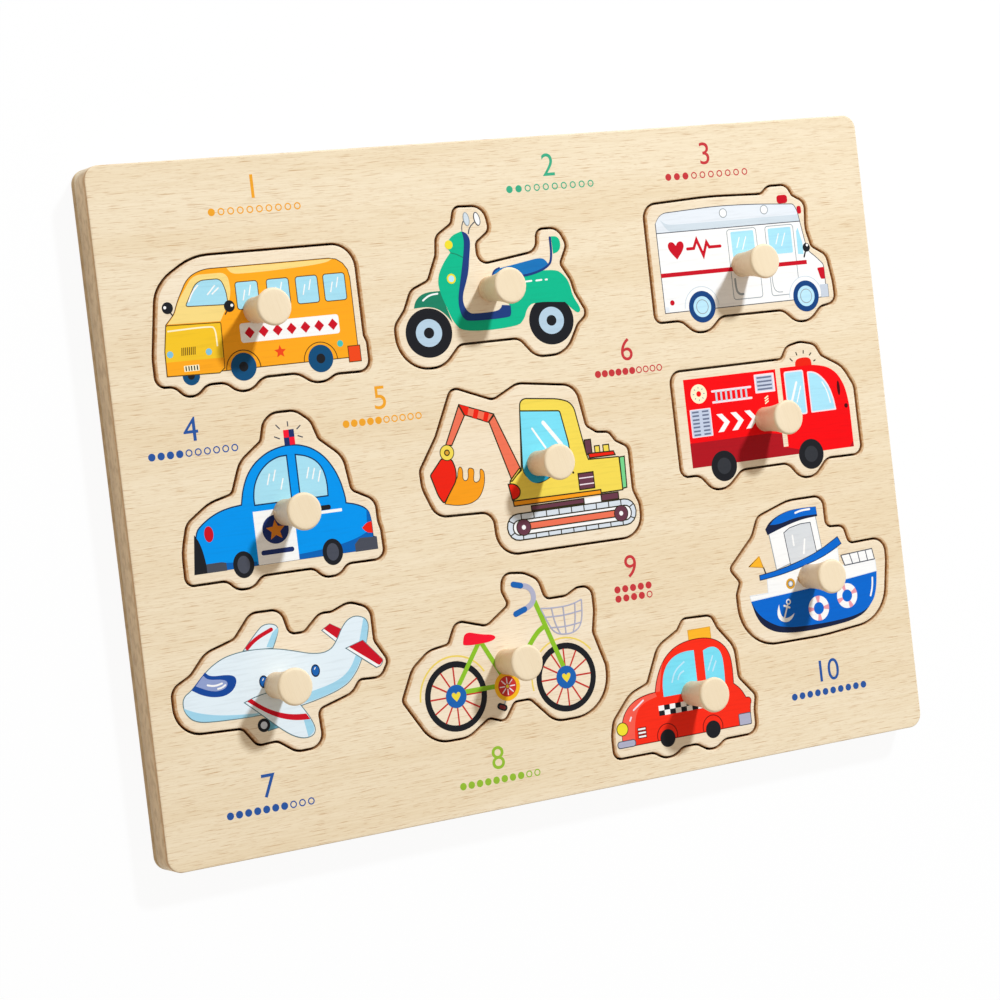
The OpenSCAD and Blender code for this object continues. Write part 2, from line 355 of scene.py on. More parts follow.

# %% [markdown]
# ## The board and the plates
# The sawn solids have knife edges, and real wood has none. A copy of each solid is merged, its
# flat face is inset twice, and the rim between face and wall is bevelled. The two insets do double
# duty: they hold the shading of the rim away from the flat face, and their rings carry the burn and
# painted shade from the wall to the clean wood. The rims of the walls that face -X are browned
# most, as painted shade, and the others hardly at all. Down the cut the walls turn darkest brown,
# real scorch with painted shade of the deep gap on it. The outside of the board is sanded, and a
# thin line under its edge is darkened as painted shade.

# %% Softening a sawn piece
DARK_RING = 0.7 * MM
PALE_RING = 0.4 * MM
RIM_BEVEL = 0.25 * MM
SCORCH_AND_SHADE_DEPTH = 2.2 * MM
OUTER_BEVEL = 0.3 * MM
OUTER_MARGIN = 4 * MM
OUTER_SHADE_LINE = 0.6 * MM
LEVEL_SLACK = 0.01 * MM
DEPTH_SLACK = 0.05 * MM
STRAIGHT = math.radians(0.5)
FLAT = 0.9
BURN_ON_FACE = 0.04
BURN_AND_SHADE_ON_MINUS_X_FACE = 0.45
BURN_ON_RIM = 0.3
BURN_AND_SHADE_ON_MINUS_X_RIM = 0.6
SHADE_UNDER_OUTER_EDGE = 0.4


def sawn_copy(node):
    """A copy of a sawn solid's mesh, with its points merged and the diagonals of its walls gone."""
    shape = bmesh.new()
    shape.from_mesh(frame["nodes"][node].data)
    bmesh.ops.remove_doubles(shape, verts=shape.verts[:], dist=MERGE_DISTANCE)
    diagonals = []
    for edge in shape.edges:
        walls = all(abs(face.normal.z) < 1 - FLAT for face in edge.link_faces)
        if walls and len(edge.link_faces) == 2 and edge.calc_face_angle() < STRAIGHT:
            diagonals.append(edge)
    bmesh.ops.dissolve_edges(shape, edges=diagonals, use_verts=False)
    return shape


def rims(shape, z):
    """The edges at height z between a flat face and a wall."""
    found = []
    for edge in shape.edges:
        flat_faces = [abs(face.normal.z) > FLAT for face in edge.link_faces]
        level = all(abs(vert.co.z - z) < LEVEL_SLACK for vert in edge.verts)
        if level and sorted(flat_faces) == [False, True]:
            found.append(edge)
    return found


def is_outer(vert):
    """True for a point on the outside of the board, or next to it."""
    inside_x = cad_low.x + OUTER_MARGIN < vert.co.x < cad_high.x - OUTER_MARGIN
    inside_y = cad_low.y + OUTER_MARGIN < vert.co.y < cad_high.y - OUTER_MARGIN
    return not (inside_x and inside_y)


def bevel_edges(shape, edges, width):
    """Rounds edges in two steps."""
    bmesh.ops.bevel(
        shape, geom=edges, offset=width, segments=2, profile=0.5, affect="EDGES", material=-1
    )


def leant_on(vert):
    """1 where a wall faces -X, whose rim takes painted shade, and 0 where it faces any other way."""
    sideways = Vector((vert.normal.x, vert.normal.y))
    return max(0, -sideways.normalized().x) if sideways.length > 0.01 else 0


def leant_on_rim(vert, flat_verts):
    """How far a wall beside a point of the flat face faces -X, which sets the painted shade there."""
    neighbours = [edge.other_vert(vert) for edge in vert.link_edges]
    return max((leant_on(other) for other in neighbours if other not in flat_verts), default=0)


def burn_value(vert, top):
    """The burn and painted shade of a point on a rim or a wall, by its depth and by the way that it
    faces.
    """
    depth = top - vert.co.z
    # On the outside of the board only a thin line under the edge is darkened, as painted shade.
    if is_outer(vert):
        in_shade_line = OUTER_BEVEL - DEPTH_SLACK < depth < OUTER_SHADE_LINE + DEPTH_SLACK
        return SHADE_UNDER_OUTER_EDGE if in_shade_line else 0
    # Deep in the cut the value is 1: real scorch, darkened further as painted shade of the deep gap.
    if depth > SCORCH_AND_SHADE_DEPTH - DEPTH_SLACK:
        return 1
    # Rims of walls that face -X are browned more, as painted shade.
    minus_x_share = leant_on(vert)
    on_face = BURN_ON_FACE + (BURN_AND_SHADE_ON_MINUS_X_FACE - BURN_ON_FACE) * minus_x_share
    on_rim = BURN_ON_RIM + (BURN_AND_SHADE_ON_MINUS_X_RIM - BURN_ON_RIM) * minus_x_share
    return on_face + (on_rim - on_face) * min(1, depth / RIM_BEVEL)


def cut_level(shape, height):
    """Cuts all walls along a level line, so that burn and painted shade can change there."""
    everything = shape.verts[:] + shape.edges[:] + shape.faces[:]
    bmesh.ops.bisect_plane(shape, geom=everything, plane_co=(0, 0, height), plane_no=UP)


def soften(shape):
    """Insets the face, bevels its rims and writes burn and painted shade on every point."""
    burn_and_shade_layer = shape.verts.layers.float.new("burn_and_shade")
    top = max(vert.co.z for vert in shape.verts)
    upward = [face for face in shape.faces if face.normal.z > FLAT]
    top_face = [face for face in upward if face.calc_center_median().z > top - LEVEL_SLACK]
    even = {"faces": top_face, "use_boundary": True, "use_even_offset": True}
    bmesh.ops.inset_region(shape, thickness=DARK_RING, **even)
    ring = bmesh.ops.inset_region(shape, thickness=PALE_RING, **even)
    clean = {vert for face in top_face for vert in face.verts}
    halfway = {vert for face in ring["faces"] for vert in face.verts} - clean
    flat_verts = halfway | clean
    edges = rims(shape, top)
    outer = [edge for edge in edges if all(is_outer(vert) for vert in edge.verts)]
    bevel_edges(shape, [edge for edge in edges if edge not in outer], RIM_BEVEL)
    if outer:
        bevel_edges(shape, outer, OUTER_BEVEL)
        cut_level(shape, top - OUTER_SHADE_LINE)
    cut_level(shape, top - SCORCH_AND_SHADE_DEPTH)
    shape.normal_update()
    for vert in shape.verts:
        vert[burn_and_shade_layer] = burn_value(vert, top)
        # The ring beside a wall that faces -X takes painted shade.
        if vert in halfway and not is_outer(vert):
            vert[burn_and_shade_layer] = BURN_AND_SHADE_ON_MINUS_X_FACE * leant_on_rim(vert, flat_verts)
        if vert in clean:
            vert[burn_and_shade_layer] = 0


print("sawn pieces can be softened")

# %% The board
tray = sawn_copy("tray_board")
soften(tray)
tray_points = len(tray.verts)
add_piece(tray, "pierced_tray", [tray_wood], "board", "tray_beech", "tray_board")

backing = sawn_copy("back_board")
bevel_edges(backing, rims(backing, cad_low.z), OUTER_BEVEL)
add_piece(backing, "plain_backing", [backing_wood], "board", "backing_beech", "back_board")
print(f"the tray has {tray_points} points")

# %% The plates
for vehicle in VEHICLES:
    plate = sawn_copy(vehicle + "_plate")
    soften(plate)
    add_piece(plate, vehicle + "_sawn_plate", [plate_wood], vehicle, "plate_beech", vehicle + "_plate")
print(f"{len(VEHICLES)} plates softened")

# %% [markdown]
# ## The pegs
# A peg is turned on a lathe, so it is one profile spun about its axis. The flared side and the
# rounded edge of the top are arcs, and each arc is itself a point spun about the arc's centre. The
# tenon that is glued into the plate is part of the same profile. The side is browned a little as
# painted shade, most at the narrow foot, so a peg carries a low value of painted shade that grows
# downwards.

# %% Turn the pegs
PEG_FOOT_R = 4.3 * MM
PEG_HOLLOW = 0.5 * MM
PEG_EDGE_R = 0.9 * MM
INNER_RING_SHARE = 0.8
TENON_R = 2.5 * MM
SHADE_AT_FOOT = 0.26
SIDE_STEPS = 10
EDGE_STEPS = 6
TURN_STEPS = 72


def spin_point(shape, start, centre, angle, steps):
    """Spins a new point about a centre in the XZ plane, which draws an arc."""
    point = shape.verts.new(start)
    bmesh.ops.spin(
        shape, geom=[point], cent=centre, axis=Vector((0, 1, 0)), angle=angle, steps=steps,
        use_merge=False,
    )


def side_arc(foot, shoulder, hollow):
    """The centre and the angle of an arc that bows in by hollow between two points of the profile."""
    chord = shoulder - foot
    outward = Vector((chord.z, 0, -chord.x)).normalized()
    radius = ((chord.length / 2) ** 2 + hollow**2) / (2 * hollow)
    centre = (foot + shoulder) / 2 + outward * (radius - hollow)
    return centre, 2 * math.asin(chord.length / 2 / radius)


def turned_peg(node):
    """A peg spun about its axis, at the place and height of its CAD node."""
    low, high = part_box(node)
    axis = Vector(((low.x + high.x) / 2, (low.y + high.y) / 2, face_z))
    top_r = (high.x - low.x) / 2
    height = high.z - face_z
    foot = Vector((PEG_FOOT_R, 0, 0))
    shoulder = Vector((top_r, 0, height - PEG_EDGE_R))
    shape = bmesh.new()
    corners = [(0, 0, low.z - face_z), (TENON_R, 0, low.z - face_z), (TENON_R, 0, 0), foot]
    lower = [shape.verts.new(corner) for corner in corners]
    for pair in zip(lower, lower[1:]):
        shape.edges.new(pair)
    centre, bow = side_arc(foot, shoulder, PEG_HOLLOW)
    spin_point(shape, foot, centre, bow, SIDE_STEPS)
    spin_point(shape, shoulder, shoulder - Vector((PEG_EDGE_R, 0, 0)), -math.pi / 2, EDGE_STEPS)
    rim = shape.verts.new((top_r - PEG_EDGE_R, 0, height))
    inner = shape.verts.new(((top_r - PEG_EDGE_R) * INNER_RING_SHARE, 0, height))
    middle = shape.verts.new((0, 0, height))
    shape.edges.new((rim, inner))
    shape.edges.new((inner, middle))
    bmesh.ops.remove_doubles(shape, verts=shape.verts[:], dist=MERGE_DISTANCE)
    bmesh.ops.spin(
        shape,
        geom=shape.verts[:] + shape.edges[:],
        cent=(0, 0, 0),
        axis=UP,
        angle=2 * math.pi,
        steps=TURN_STEPS,
        use_merge=True,
    )
    bmesh.ops.remove_doubles(shape, verts=shape.verts[:], dist=MERGE_DISTANCE)
    bmesh.ops.recalc_face_normals(shape, faces=shape.faces[:])
    # Painted shade on the side of the peg, growing towards the foot.
    burn_and_shade = shape.verts.layers.float.new("burn_and_shade")
    for point in shape.verts:
        point[burn_and_shade] = SHADE_AT_FOOT * min(1, 1 - point.co.z / height)
    bmesh.ops.translate(shape, verts=shape.verts[:], vec=axis)
    return shape


for vehicle in VEHICLES:
    peg = turned_peg(vehicle + "_peg")
    open_edges = sum(len(edge.link_faces) != 2 for edge in peg.edges)
    add_piece(peg, vehicle + "_turned_peg", [peg_wood], vehicle, "peg_beech", vehicle + "_peg")
print(f"{len(VEHICLES)} pegs turned, {open_edges} open edges on the last")

# %% [markdown]
# ## Printing inks
# The pictures are screen printed in opaque, flat, satin colours. An ink lies so thinly that the
# fibres of the wood still show in its surface, so one group breaks every ink up a little along the
# grain. Each ink is then a small material with its own colour, and it is made when it is first used.

# %% Printing inks
INK_SHEEN = 0.08
INK_STRENGTH = 0.15
INK_DEPTH = 0.03 * MM
INK_FIBRES_PER_METRE = (90, 1100, 1100)
THIN_INK = (0.93, 0.93, 0.93, 1)
INKS = {
    "white": "FBFAF8",
    "cream": "FFF3CC",
    "black": "1B1C20",
    "charcoal": "33353A",
    "slate": "4A4D58",
    "pencil": "9CA4AA",
    "silver": "CBD3DE",
    "mist": "E9EEF4",
    "haze": "D3DEE6",
    "link grey": "DAE2EA",
    "cabin grey": "D9DCDF",
    "vent blue": "C6D0E4",
    "louvre": "6C7690",
    "umber": "5E4014",
    "sepia": "2F2812",
    "maroon": "693B4A",
    "glass": "A8DFF1",
    "pane": "ACE5F8",
    "ice": "BFE9FA",
    "rim blue": "B8D1E3",
    "cyan": "7CDFF5",
    "lagoon": "2A9FC4",
    "strut blue": "6AA9C0",
    "teal": "4BC4BF",
    "sky": "84C4DE",
    "ring blue": "17437F",
    "wheel blue": "114D78",
    "navy": "1F2F66",
    "midnight": "16203E",
    "leg blue": "203D7E",
    "seat blue": "1B74B9",
    "car blue": "0096EF",
    "sill blue": "0A62B4",
    "edge blue": "12365E",
    "hull blue": "0868CE",
    "cockpit blue": "17489A",
    "grip blue": "1E63B1",
    "lavender": "93A2CF",
    "lilac grey": "B2B2C8",
    "mint": "0FBA8D",
    "bottle green": "1F8062",
    "leaf": "7AD58D",
    "grass": "8DC22C",
    "lamp yellow": "F4E135",
    "heart yellow": "F3DB40",
    "guard yellow": "F0D468",
    "machine yellow": "F5DA56",
    "hood yellow": "F6C62A",
    "pale yellow": "F9DB85",
    "chain yellow": "F6BA22",
    "amber": "FFB82C",
    "brass": "DCA234",
    "orange": "FFAA20",
    "claw orange": "F99E1C",
    "star orange": "D98227",
    "coral": "F07456",
    "flame": "F0491C",
    "taxi red": "FB2F1A",
    "taxi pale": "F95F4E",
    "taxi dark": "6E120E",
    "scarlet": "EE2412",
    "engine red": "F80A12",
    "deep red": "B0141F",
    "signal red": "CC1225",
    "spoke red": "C83630",
    "saddle red": "F81833",
    "pedal red": "7A2D2C",
    "oxblood": "4A0A10",
    "ring pink": "EE9FAA",
    "rose white": "F7E6EC",
    "plane white": "E6F2F9",
    "plane shade": "A3D6EC",
    "plane line": "5E7C84",
    "label orange": "F2A62C",
    "label green": "3FAE86",
    "label red": "C93A3E",
    "label blue": "2C579F",
    "label lime": "95BD36",
}

printed, given, result = new_group(
    "print ink",
    {"Vector": "Vector", "Ink": "Color"},
    {"Color": "Color", "Roughness": "Float", "Height": "Float"},
)
ink_vector = stretched(printed, given.outputs["Vector"], INK_FIBRES_PER_METRE)
ink_inputs = {"Vector": ink_vector, "Scale": 1, "Detail": 3}
ink_fibres = add_node(printed, "ShaderNodeTexNoise", ink_inputs).outputs["Fac"]
thinned = ranged(printed, ink_fibres, 0.45, 0.75, 0, 1)
inked = mix_colours(printed, thinned, given.outputs["Ink"], THIN_INK, "MULTIPLY")
printed.links.new(inked, result.inputs["Color"])
printed.links.new(ranged(printed, ink_fibres, 0.2, 0.8, 0.36, 0.5), result.inputs["Roughness"])
printed.links.new(ink_fibres, result.inputs["Height"])


def ink_material(name):
    """The satin film of one printing ink, made the first time that it is asked for."""
    if "ink " + name in bpy.data.materials:
        return bpy.data.materials["ink " + name]
    material = bpy.data.materials.new("ink " + name)
    material.use_nodes = True
    tree = material.node_tree
    shader = tree.nodes["Principled BSDF"]
    shader.inputs["Specular IOR Level"].default_value = INK_SHEEN
    place = add_node(tree, "ShaderNodeTexCoord").outputs["Object"]
    film = add_node(tree, "ShaderNodeGroup", node_tree=printed)
    tree.links.new(place, film.inputs["Vector"])
    film.inputs["Ink"].default_value = paint(INKS[name])
    relief = {"Strength": INK_STRENGTH, "Distance": INK_DEPTH, "Height": film.outputs["Height"]}
    bump = add_node(tree, "ShaderNodeBump", relief)
    tree.links.new(film.outputs["Color"], shader.inputs["Base Color"])
    tree.links.new(film.outputs["Roughness"], shader.inputs["Roughness"])
    tree.links.new(bump.outputs["Normal"], shader.inputs["Normal"])
    return material


print(f"{len(INKS)} inks to choose from")

# %% [markdown]
# ## How a picture is printed
# A picture is a pile of ink films. Each film starts flat: an outline of a few points, a circle, a
# spun edge, or a line. Corners are rounded by bevelling points, which also turns a rough outline
# into a soft one when every point gives up part of its edges. The flat shape is then extruded to a
# film, and a film that lies over others is raised above them, so no two faces share a plane. All
# is drawn in millimetres from the lower left of the plate, and the peg says where that is.

# %% The Picture class
FILM = 0.012
LINE_WIDTH = 0.3
BOLD_LINE = 0.45
THIN_LINE = 0.25
EASE_PERCENT = 45
ROUND_ENDS_FROM = 0.6
ROUND_END_SHARE = 0.48
STAR_INNER_SHARE = 0.45
DEGREES_PER_STEP = 8
SMALL_DISC_R = 2
SMALL_DISC_SEGMENTS = 20
DISC_SEGMENTS = 48


def round_corners(film, corners, offset, kind="OFFSET", clamp=False):
    """Rounds corners of a flat outline, by an offset along their edges or by a share of them."""
    bmesh.ops.bevel(
        film,
        geom=corners,
        offset=offset,
        offset_type=kind,
        segments=4,
        profile=0.5,
        affect="VERTICES",
        material=-1,
        clamp_overlap=clamp,
    )


def ray(turn):
    """The direction that makes that many degrees with the drawing's X."""
    return Vector((math.cos(math.radians(turn)), math.sin(math.radians(turn)), 0))


def apart(one, other):
    """True if two boxes, each written as left, bottom, right and top, don't overlap."""
    return one[2] < other[0] or other[2] < one[0] or one[3] < other[1] or other[3] < one[1]


class Picture:
    """A pile of ink films on one body, drawn in millimetres from an origin on the face."""

    def __init__(self, name, body, slot, origin, line_width=LINE_WIDTH):
        self.name = name
        self.line_width = line_width
        self.body = body
        self.slot = slot
        self.place = Matrix.Translation(origin) @ Matrix.Diagonal((MM, MM, MM, 1))
        self.shape = bmesh.new()
        self.inks = []
        self.films = []

    def ink_index(self, ink):
        """The material slot of an ink on this picture."""
        if ink not in self.inks:
            self.inks.append(ink)
        return self.inks.index(ink)

    def lay(self, film, ink, line=None, line_width=None):
        """Prints a flat shape over what is there already, with its rim drawn in a second ink."""
        film.normal_update()
        flat = film.faces[:]
        for face in flat:
            face.material_index = self.ink_index(ink)
        xs = [vert.co.x for vert in film.verts]
        ys = [vert.co.y for vert in film.verts]
        if line:
            width = line_width or self.line_width
            rim = bmesh.ops.inset_region(
                film, faces=flat, thickness=width, use_boundary=True, use_even_offset=True
            )
            for face in rim["faces"]:
                face.material_index = self.ink_index(line)
        box = (min(xs), min(ys), max(xs), max(ys))
        level = 1 + max((height for below, height in self.films if not apart(box, below)), default=0)
        self.films.append((box, level))
        raised = bmesh.ops.extrude_face_region(film, geom=film.faces[:])["geom"]
        upper = [part for part in raised if isinstance(part, bmesh.types.BMVert)]
        bmesh.ops.translate(film, verts=film.verts[:], vec=(0, 0, -FILM))
        bmesh.ops.translate(film, verts=upper, vec=(0, 0, FILM + level * FILM))
        bmesh.ops.recalc_face_normals(film, faces=film.faces[:])
        bmesh.ops.transform(film, matrix=self.place, verts=film.verts[:])
        sheet = bpy.data.meshes.new("film")
        film.to_mesh(sheet)
        film.free()
        self.shape.from_mesh(sheet)
        bpy.data.meshes.remove(sheet)

    def patch(self, ink, *points, soft=False, line=None, line_width=None):
        """A shape with the given corners, where a third number rounds a corner of a point."""
        film = bmesh.new()
        corners = [film.verts.new((point[0], point[1], 0)) for point in points]
        film.faces.new(corners)
        for radius in {point[2] for point in points if len(point) == 3 and point[2]}:
            alike = [corner for corner, point in zip(corners, points) if radius in point[2:]]
            round_corners(film, alike, radius)
        eased = [corner for corner, point in zip(corners, points) if len(point) == 2]
        if soft and eased:
            round_corners(film, eased, EASE_PERCENT, "PERCENT")
        self.lay(film, ink, line, line_width)

    def bar(self, ink, left, bottom, right, top, radius=0, line=None):
        """An upright rectangle with rounded corners."""
        corners = ((left, bottom), (right, bottom), (right, top), (left, top))
        self.patch(ink, *[(x, y, radius) for x, y in corners], line=line)

    def disc(self, ink, x, y, radius, tall=1, turn=0, line=None):
        """A filled circle, or an ellipse that is tall times as high as wide and then turned."""
        film = bmesh.new()
        segments = SMALL_DISC_SEGMENTS if radius < SMALL_DISC_R else DISC_SEGMENTS
        bmesh.ops.create_circle(film, cap_ends=True, segments=segments, radius=radius)
        bmesh.ops.scale(film, vec=(1, tall, 1), verts=film.verts[:])
        turned = Matrix.Translation((x, y, 0)) @ Matrix.Rotation(math.radians(turn), 4, "Z")
        bmesh.ops.transform(film, matrix=turned, verts=film.verts[:])
        self.lay(film, ink, line)

    def wheel(self, x, y, *rings, tall=1):
        """Discs about one centre, from the outermost ink and radius to the innermost."""
        for ink, radius in rings:
            self.disc(ink, x, y, radius, tall)

    def ring(self, ink, x, y, outer, inner, start=0, sweep=360):
        """A ring, or a stretch of one from start on, in degrees: a short edge spun about a centre."""
        film = bmesh.new()
        centre = Vector((x, y, 0))
        ends = [film.verts.new(centre + ray(start) * radius) for radius in (inner, outer)]
        edge = film.edges.new(ends)
        bmesh.ops.spin(
            film,
            geom=ends + [edge],
            cent=centre,
            axis=UP,
            angle=math.radians(sweep),
            steps=max(3, sweep // DEGREES_PER_STEP),
            use_merge=sweep == 360,
        )
        self.lay(film, ink)

    def star(self, ink, x, y, radius):
        """A star of five points: a circle of ten points with every second one drawn in."""
        film = bmesh.new()
        bmesh.ops.create_circle(film, cap_ends=True, segments=10, radius=radius)
        points = sorted(film.verts, key=lambda vert: math.atan2(vert.co.y, vert.co.x))
        bmesh.ops.scale(film, vec=(STAR_INNER_SHARE, STAR_INNER_SHARE, 1), verts=points[::2])
        upright = math.pi / 2 - math.atan2(points[1].co.y, points[1].co.x)
        turned = Matrix.Translation((x, y, 0)) @ Matrix.Rotation(upright, 4, "Z")
        bmesh.ops.transform(film, matrix=turned, verts=film.verts[:])
        self.lay(film, ink)

    def heart(self, ink, x, y, size):
        """A heart: a soft outline with a sharp tip and a sharp notch."""
        outline = [(0, -1, 0), (1, 0.1), (0.95, 0.8), (0.35, 0.9), (0, 0.45, 0)]
        mirrored = [(-point[0], *point[1:]) for point in outline[-2:0:-1]]
        placed = []
        for across, up, *rounding in outline + mirrored:
            placed.append((x + across * size, y + up * size, *rounding))
        self.patch(ink, *placed, soft=True)

    def strokes(self, ink, width, *paths, soft=False):
        """Lines of one width along paths of points: each is raised to a wall and laid flat again."""
        for path in paths:
            film = bmesh.new()
            wire = [film.verts.new((x, y, 0)) for x, y in path]
            for pair in zip(wire, wire[1:]):
                film.edges.new(pair)
            if soft:
                round_corners(film, wire[1:-1], EASE_PERCENT, "PERCENT")
            wall = bmesh.ops.extrude_edge_only(film, edges=film.edges[:])["geom"]
            upper = {part for part in wall if isinstance(part, bmesh.types.BMVert)}
            bmesh.ops.translate(film, verts=list(upper), vec=UP)
            bmesh.ops.recalc_face_normals(film, faces=film.faces[:])
            film.normal_update()
            for vert in film.verts:
                aside = vert.normal * vert.calc_shell_factor() * width / 2
                vert.co += aside if vert in upper else -aside
                vert.co.z = 0
            ends = [vert for vert in film.verts if len(vert.link_edges) == 2]
            if width >= ROUND_ENDS_FROM:
                round_corners(film, ends, width * ROUND_END_SHARE, clamp=True)
            self.lay(film, ink)

    def spokes(self, ink, width, x, y, inner, outer, turns):
        """Lines from an inner to an outer radius about a centre, one at each of the given turns."""
        hub = Vector((x, y, 0))
        for turn in turns:
            ends = (hub + ray(turn) * inner, hub + ray(turn) * outer)
            self.strokes(ink, width, [end.xy for end in ends])

    def checks(self, inks, left, bottom, width, height, columns):
        """Two rows of bars of that width and height, which take the two inks in turn."""
        for column in range(columns):
            for row in range(2):
                x = left + width * column
                y = bottom + height * row
                self.bar(inks[(column + row) % 2], x, y, x + width, y + height)

    def finish(self):
        """Adds the pile of films as one piece."""
        count = len(self.films)
        highest = max(level for _, level in self.films)
        add_piece(self.shape, self.name, [ink_material(ink) for ink in self.inks], self.body, self.slot)
        print(f"{self.name}: {count} films, {len(self.inks)} inks, {highest * FILM:.2f} mm high")


def plate_picture(vehicle, peg_x, peg_y, line_width=LINE_WIDTH):
    """An empty picture on a plate, whose peg stands at that place of the drawing."""
    low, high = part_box(vehicle + "_peg")
    origin = Vector(((low.x + high.x) / 2 - peg_x * MM, (low.y + high.y) / 2 - peg_y * MM, face_z))
    return Picture(vehicle + "_picture", vehicle, "plate_beech", origin, line_width)


print("pictures can be printed")

# %% [markdown]
# ## The school bus
# The first picture shows the order of work: what lies behind comes first, then the big flat
# shapes, then windows, wheels and small marks. The sign on its side holds a row of red rhombs.

# %% The school bus
bus = plate_picture("school_bus", 37, 25.5)
bus.wheel(12, 6.6, ("wheel blue", 3), ("black", 1.2))
bus.patch(
    "orange", (3.6, 7), (72.3, 7), (72.3, 40.3, 7), (20, 40.3, 2.5), (14.5, 38, 2.5), (10, 30.5, 2),
    (8.5, 26.8, 1), (5.2, 23.5), (3.8, 15), line="umber",
)
bus.patch(
    "pale yellow", (28.6, 39.9, 0), (66.5, 39.9, 0), (64, 38.6), (48, 37.8), (33, 37.6), (30, 38),
    soft=True,
)
bus.patch(
    "pale yellow", (6, 23.6), (24.3, 23.1), (29.3, 31, 3), (28.6, 38.5, 2.5), (16.5, 38.5, 2.5),
    (10.4, 30.5, 2), (8.9, 26.8, 1),
)
bus.patch(
    "glass", (12.5, 28.6, 1.2), (27.8, 28, 0.8), (27.6, 33, 2), (26, 36.8, 1.5), (17.5, 36.8, 2.5),
    line="umber",
)
bus.strokes("white", 0.5, ((14, 30), (15.8, 33.3), (18, 35.2)), soft=True)
bus.strokes("white", 0.45, ((20.8, 31.8), (23.8, 34.7)), ((22.4, 31.9), (25, 33.8)))
bus.patch(
    "hood yellow", (3.6, 7), (22, 6.5), (24, 8), (24.5, 22.8, 0.6), (5.2, 23.4, 0.6), (3.8, 15),
    line="umber",
)
bus.patch("orange", (3.9, 7.3), (21.9, 6.9), (23.7, 8.2), (23.9, 11.4), (4, 11.6))
bus.strokes("cream", 0.5, ((5.6, 21.4), (20.5, 21.8), (22.2, 21), (22.2, 15.2)), soft=True)
for x in (30.7, 41.8, 52.2, 62.2):
    bus.bar("glass", x, 26, x + 8.2, 35.2, 1.1, line="umber")
    bus.strokes("white", 0.4, ((x + 2.4, 29), (x + 3.4, 32.4)), ((x + 4.6, 30.4), (x + 5.6, 33.8)))
bus.bar("white", 30.7, 15.4, 66.3, 21.7, 1)
for x in range(34, 65, 5):
    bus.patch("signal red", (x - 1.8, 18.5), (x, 16.6), (x + 1.8, 18.5), (x, 20.4))
bus.star("flame", 44, 11.4, 2.2)
for x in (30.5, 58.2):
    bus.ring("umber", x, 7.1, 6.2, 5.9, 0, 180)
    bus.wheel(x, 7.8, ("wheel blue", 4.5), ("black", 1.6))
bus.bar("flame", 68.3, 5.5, 73, 11, line="umber")
bus.strokes("black", 0.4, ((6.5, 28.5), (8.2, 26.2)), ((28, 27.5), (26.2, 25)))
for x, y, glint in ((6.6, 28.8, -0.9), (28, 27.6, 0.9)):
    bus.disc("black", x, y, 1.9)
    bus.disc("white", x + glint, y + 0.2, 0.5)
for step in range(8):
    bus.strokes("umber", 0.3, ((9.6 + 0.65 * step, 13.3), (9.9 + 0.65 * step, 15.8)))
bus.bar("cream", 9.8, 8.1, 15.1, 10, 0.2)
for x in (10.5, 11.5, 12.4, 13.4, 14.4):
    bus.bar("black", x - 0.2, 8.3, x + 0.2, 9.8)
for x, y, lamp_ink in ((5.6, 14, "sky"), (19, 13.7, "sky"), (65.8, 12, "teal")):
    bus.disc(lamp_ink, x, y, 1.1)
bus.finish()

# %% [markdown]
# ## The scooter
# The scooter is nearly all soft outlines. Its body is one green outline round the gap where the
# rider's feet go, and the dark blue leg shield and floor line that gap as another.

# %% The scooter
scooter = plate_picture("scooter", 37, 24)
for x in (12.1, 59.8):
    scooter.wheel(x, 11.4, ("black", 8.8), ("rim blue", 4.95), ("black", 1.95), tall=0.94)
scooter.patch(
    "bottle green", (7.5, 20, 0), (8.5, 22.8), (12, 25), (18, 25, 0), (21.5, 14, 0), (18.5, 18),
    (14, 20.2), soft=True,
)
scooter.strokes("white", 0.6, ((11, 22.2), (13.8, 24), (17.3, 24.2)), soft=True)
scooter.patch(
    "mint", (23.8, 37.6, 0), (20.4, 34), (17.8, 29.6), (17.8, 25), (20, 19), (22, 13.8), (25.5, 10.3),
    (46, 10.4), (49.2, 12.6), (50.8, 16.6), (54, 18.3), (66, 17.2, 0), (69.5, 13.6), (71.2, 13),
    (72, 14.6), (69.2, 19), (68.8, 23), (66.8, 26.6), (63, 29), (48, 28, 0), (39.2, 28, 0), (40, 23.6),
    (42, 20.2), (44.6, 18), (44, 14.5, 0), (28, 14.5), (25.4, 18), (26, 25), (28.6, 34), (29.6, 38, 0),
    soft=True,
)
scooter.patch(
    "mint", (22.4, 39.6, 0), (24.5, 43), (28.9, 44.3, 0), (30.2, 40), (29, 35.2, 0), (23.8, 37.4, 0),
    soft=True,
)
scooter.strokes("bottle green", 0.3, ((23.7, 37.4), (26, 36.7), (28.6, 35.3)))
scooter.disc("lamp yellow", 23.4, 40.1, 1.5)
scooter.patch(
    "leg blue", (28.9, 44.3, 0), (31, 43.3), (31.8, 41), (31.3, 38), (30.6, 35), (29.8, 30.6),
    (28.2, 26.6), (26.5, 23), (26.3, 19.6), (28.2, 16.5), (31, 16.3), (38.6, 16.3), (40.6, 17.2),
    (41.2, 18.3, 0), (44.5, 17.9, 0), (44.4, 14.6), (43, 13.8), (28.2, 13.8), (25.8, 14.8), (24.6, 18),
    (24.6, 22), (26, 27), (27.7, 33), (29, 38.4), (29.4, 41.6), soft=True,
)
scooter.patch(
    "seat blue", (38.6, 28.4), (39.6, 30.4), (44, 31), (52, 32.2), (58.6, 33.2), (60.6, 31.6),
    (61.4, 29.8), (56, 28.2), (48, 27.2), soft=True,
)
scooter.strokes(
    "leg blue", 0.8, ((47, 27.3), (54, 27.6), (61, 29.7), (62.8, 32.6), (62.9, 40)), soft=True,
)
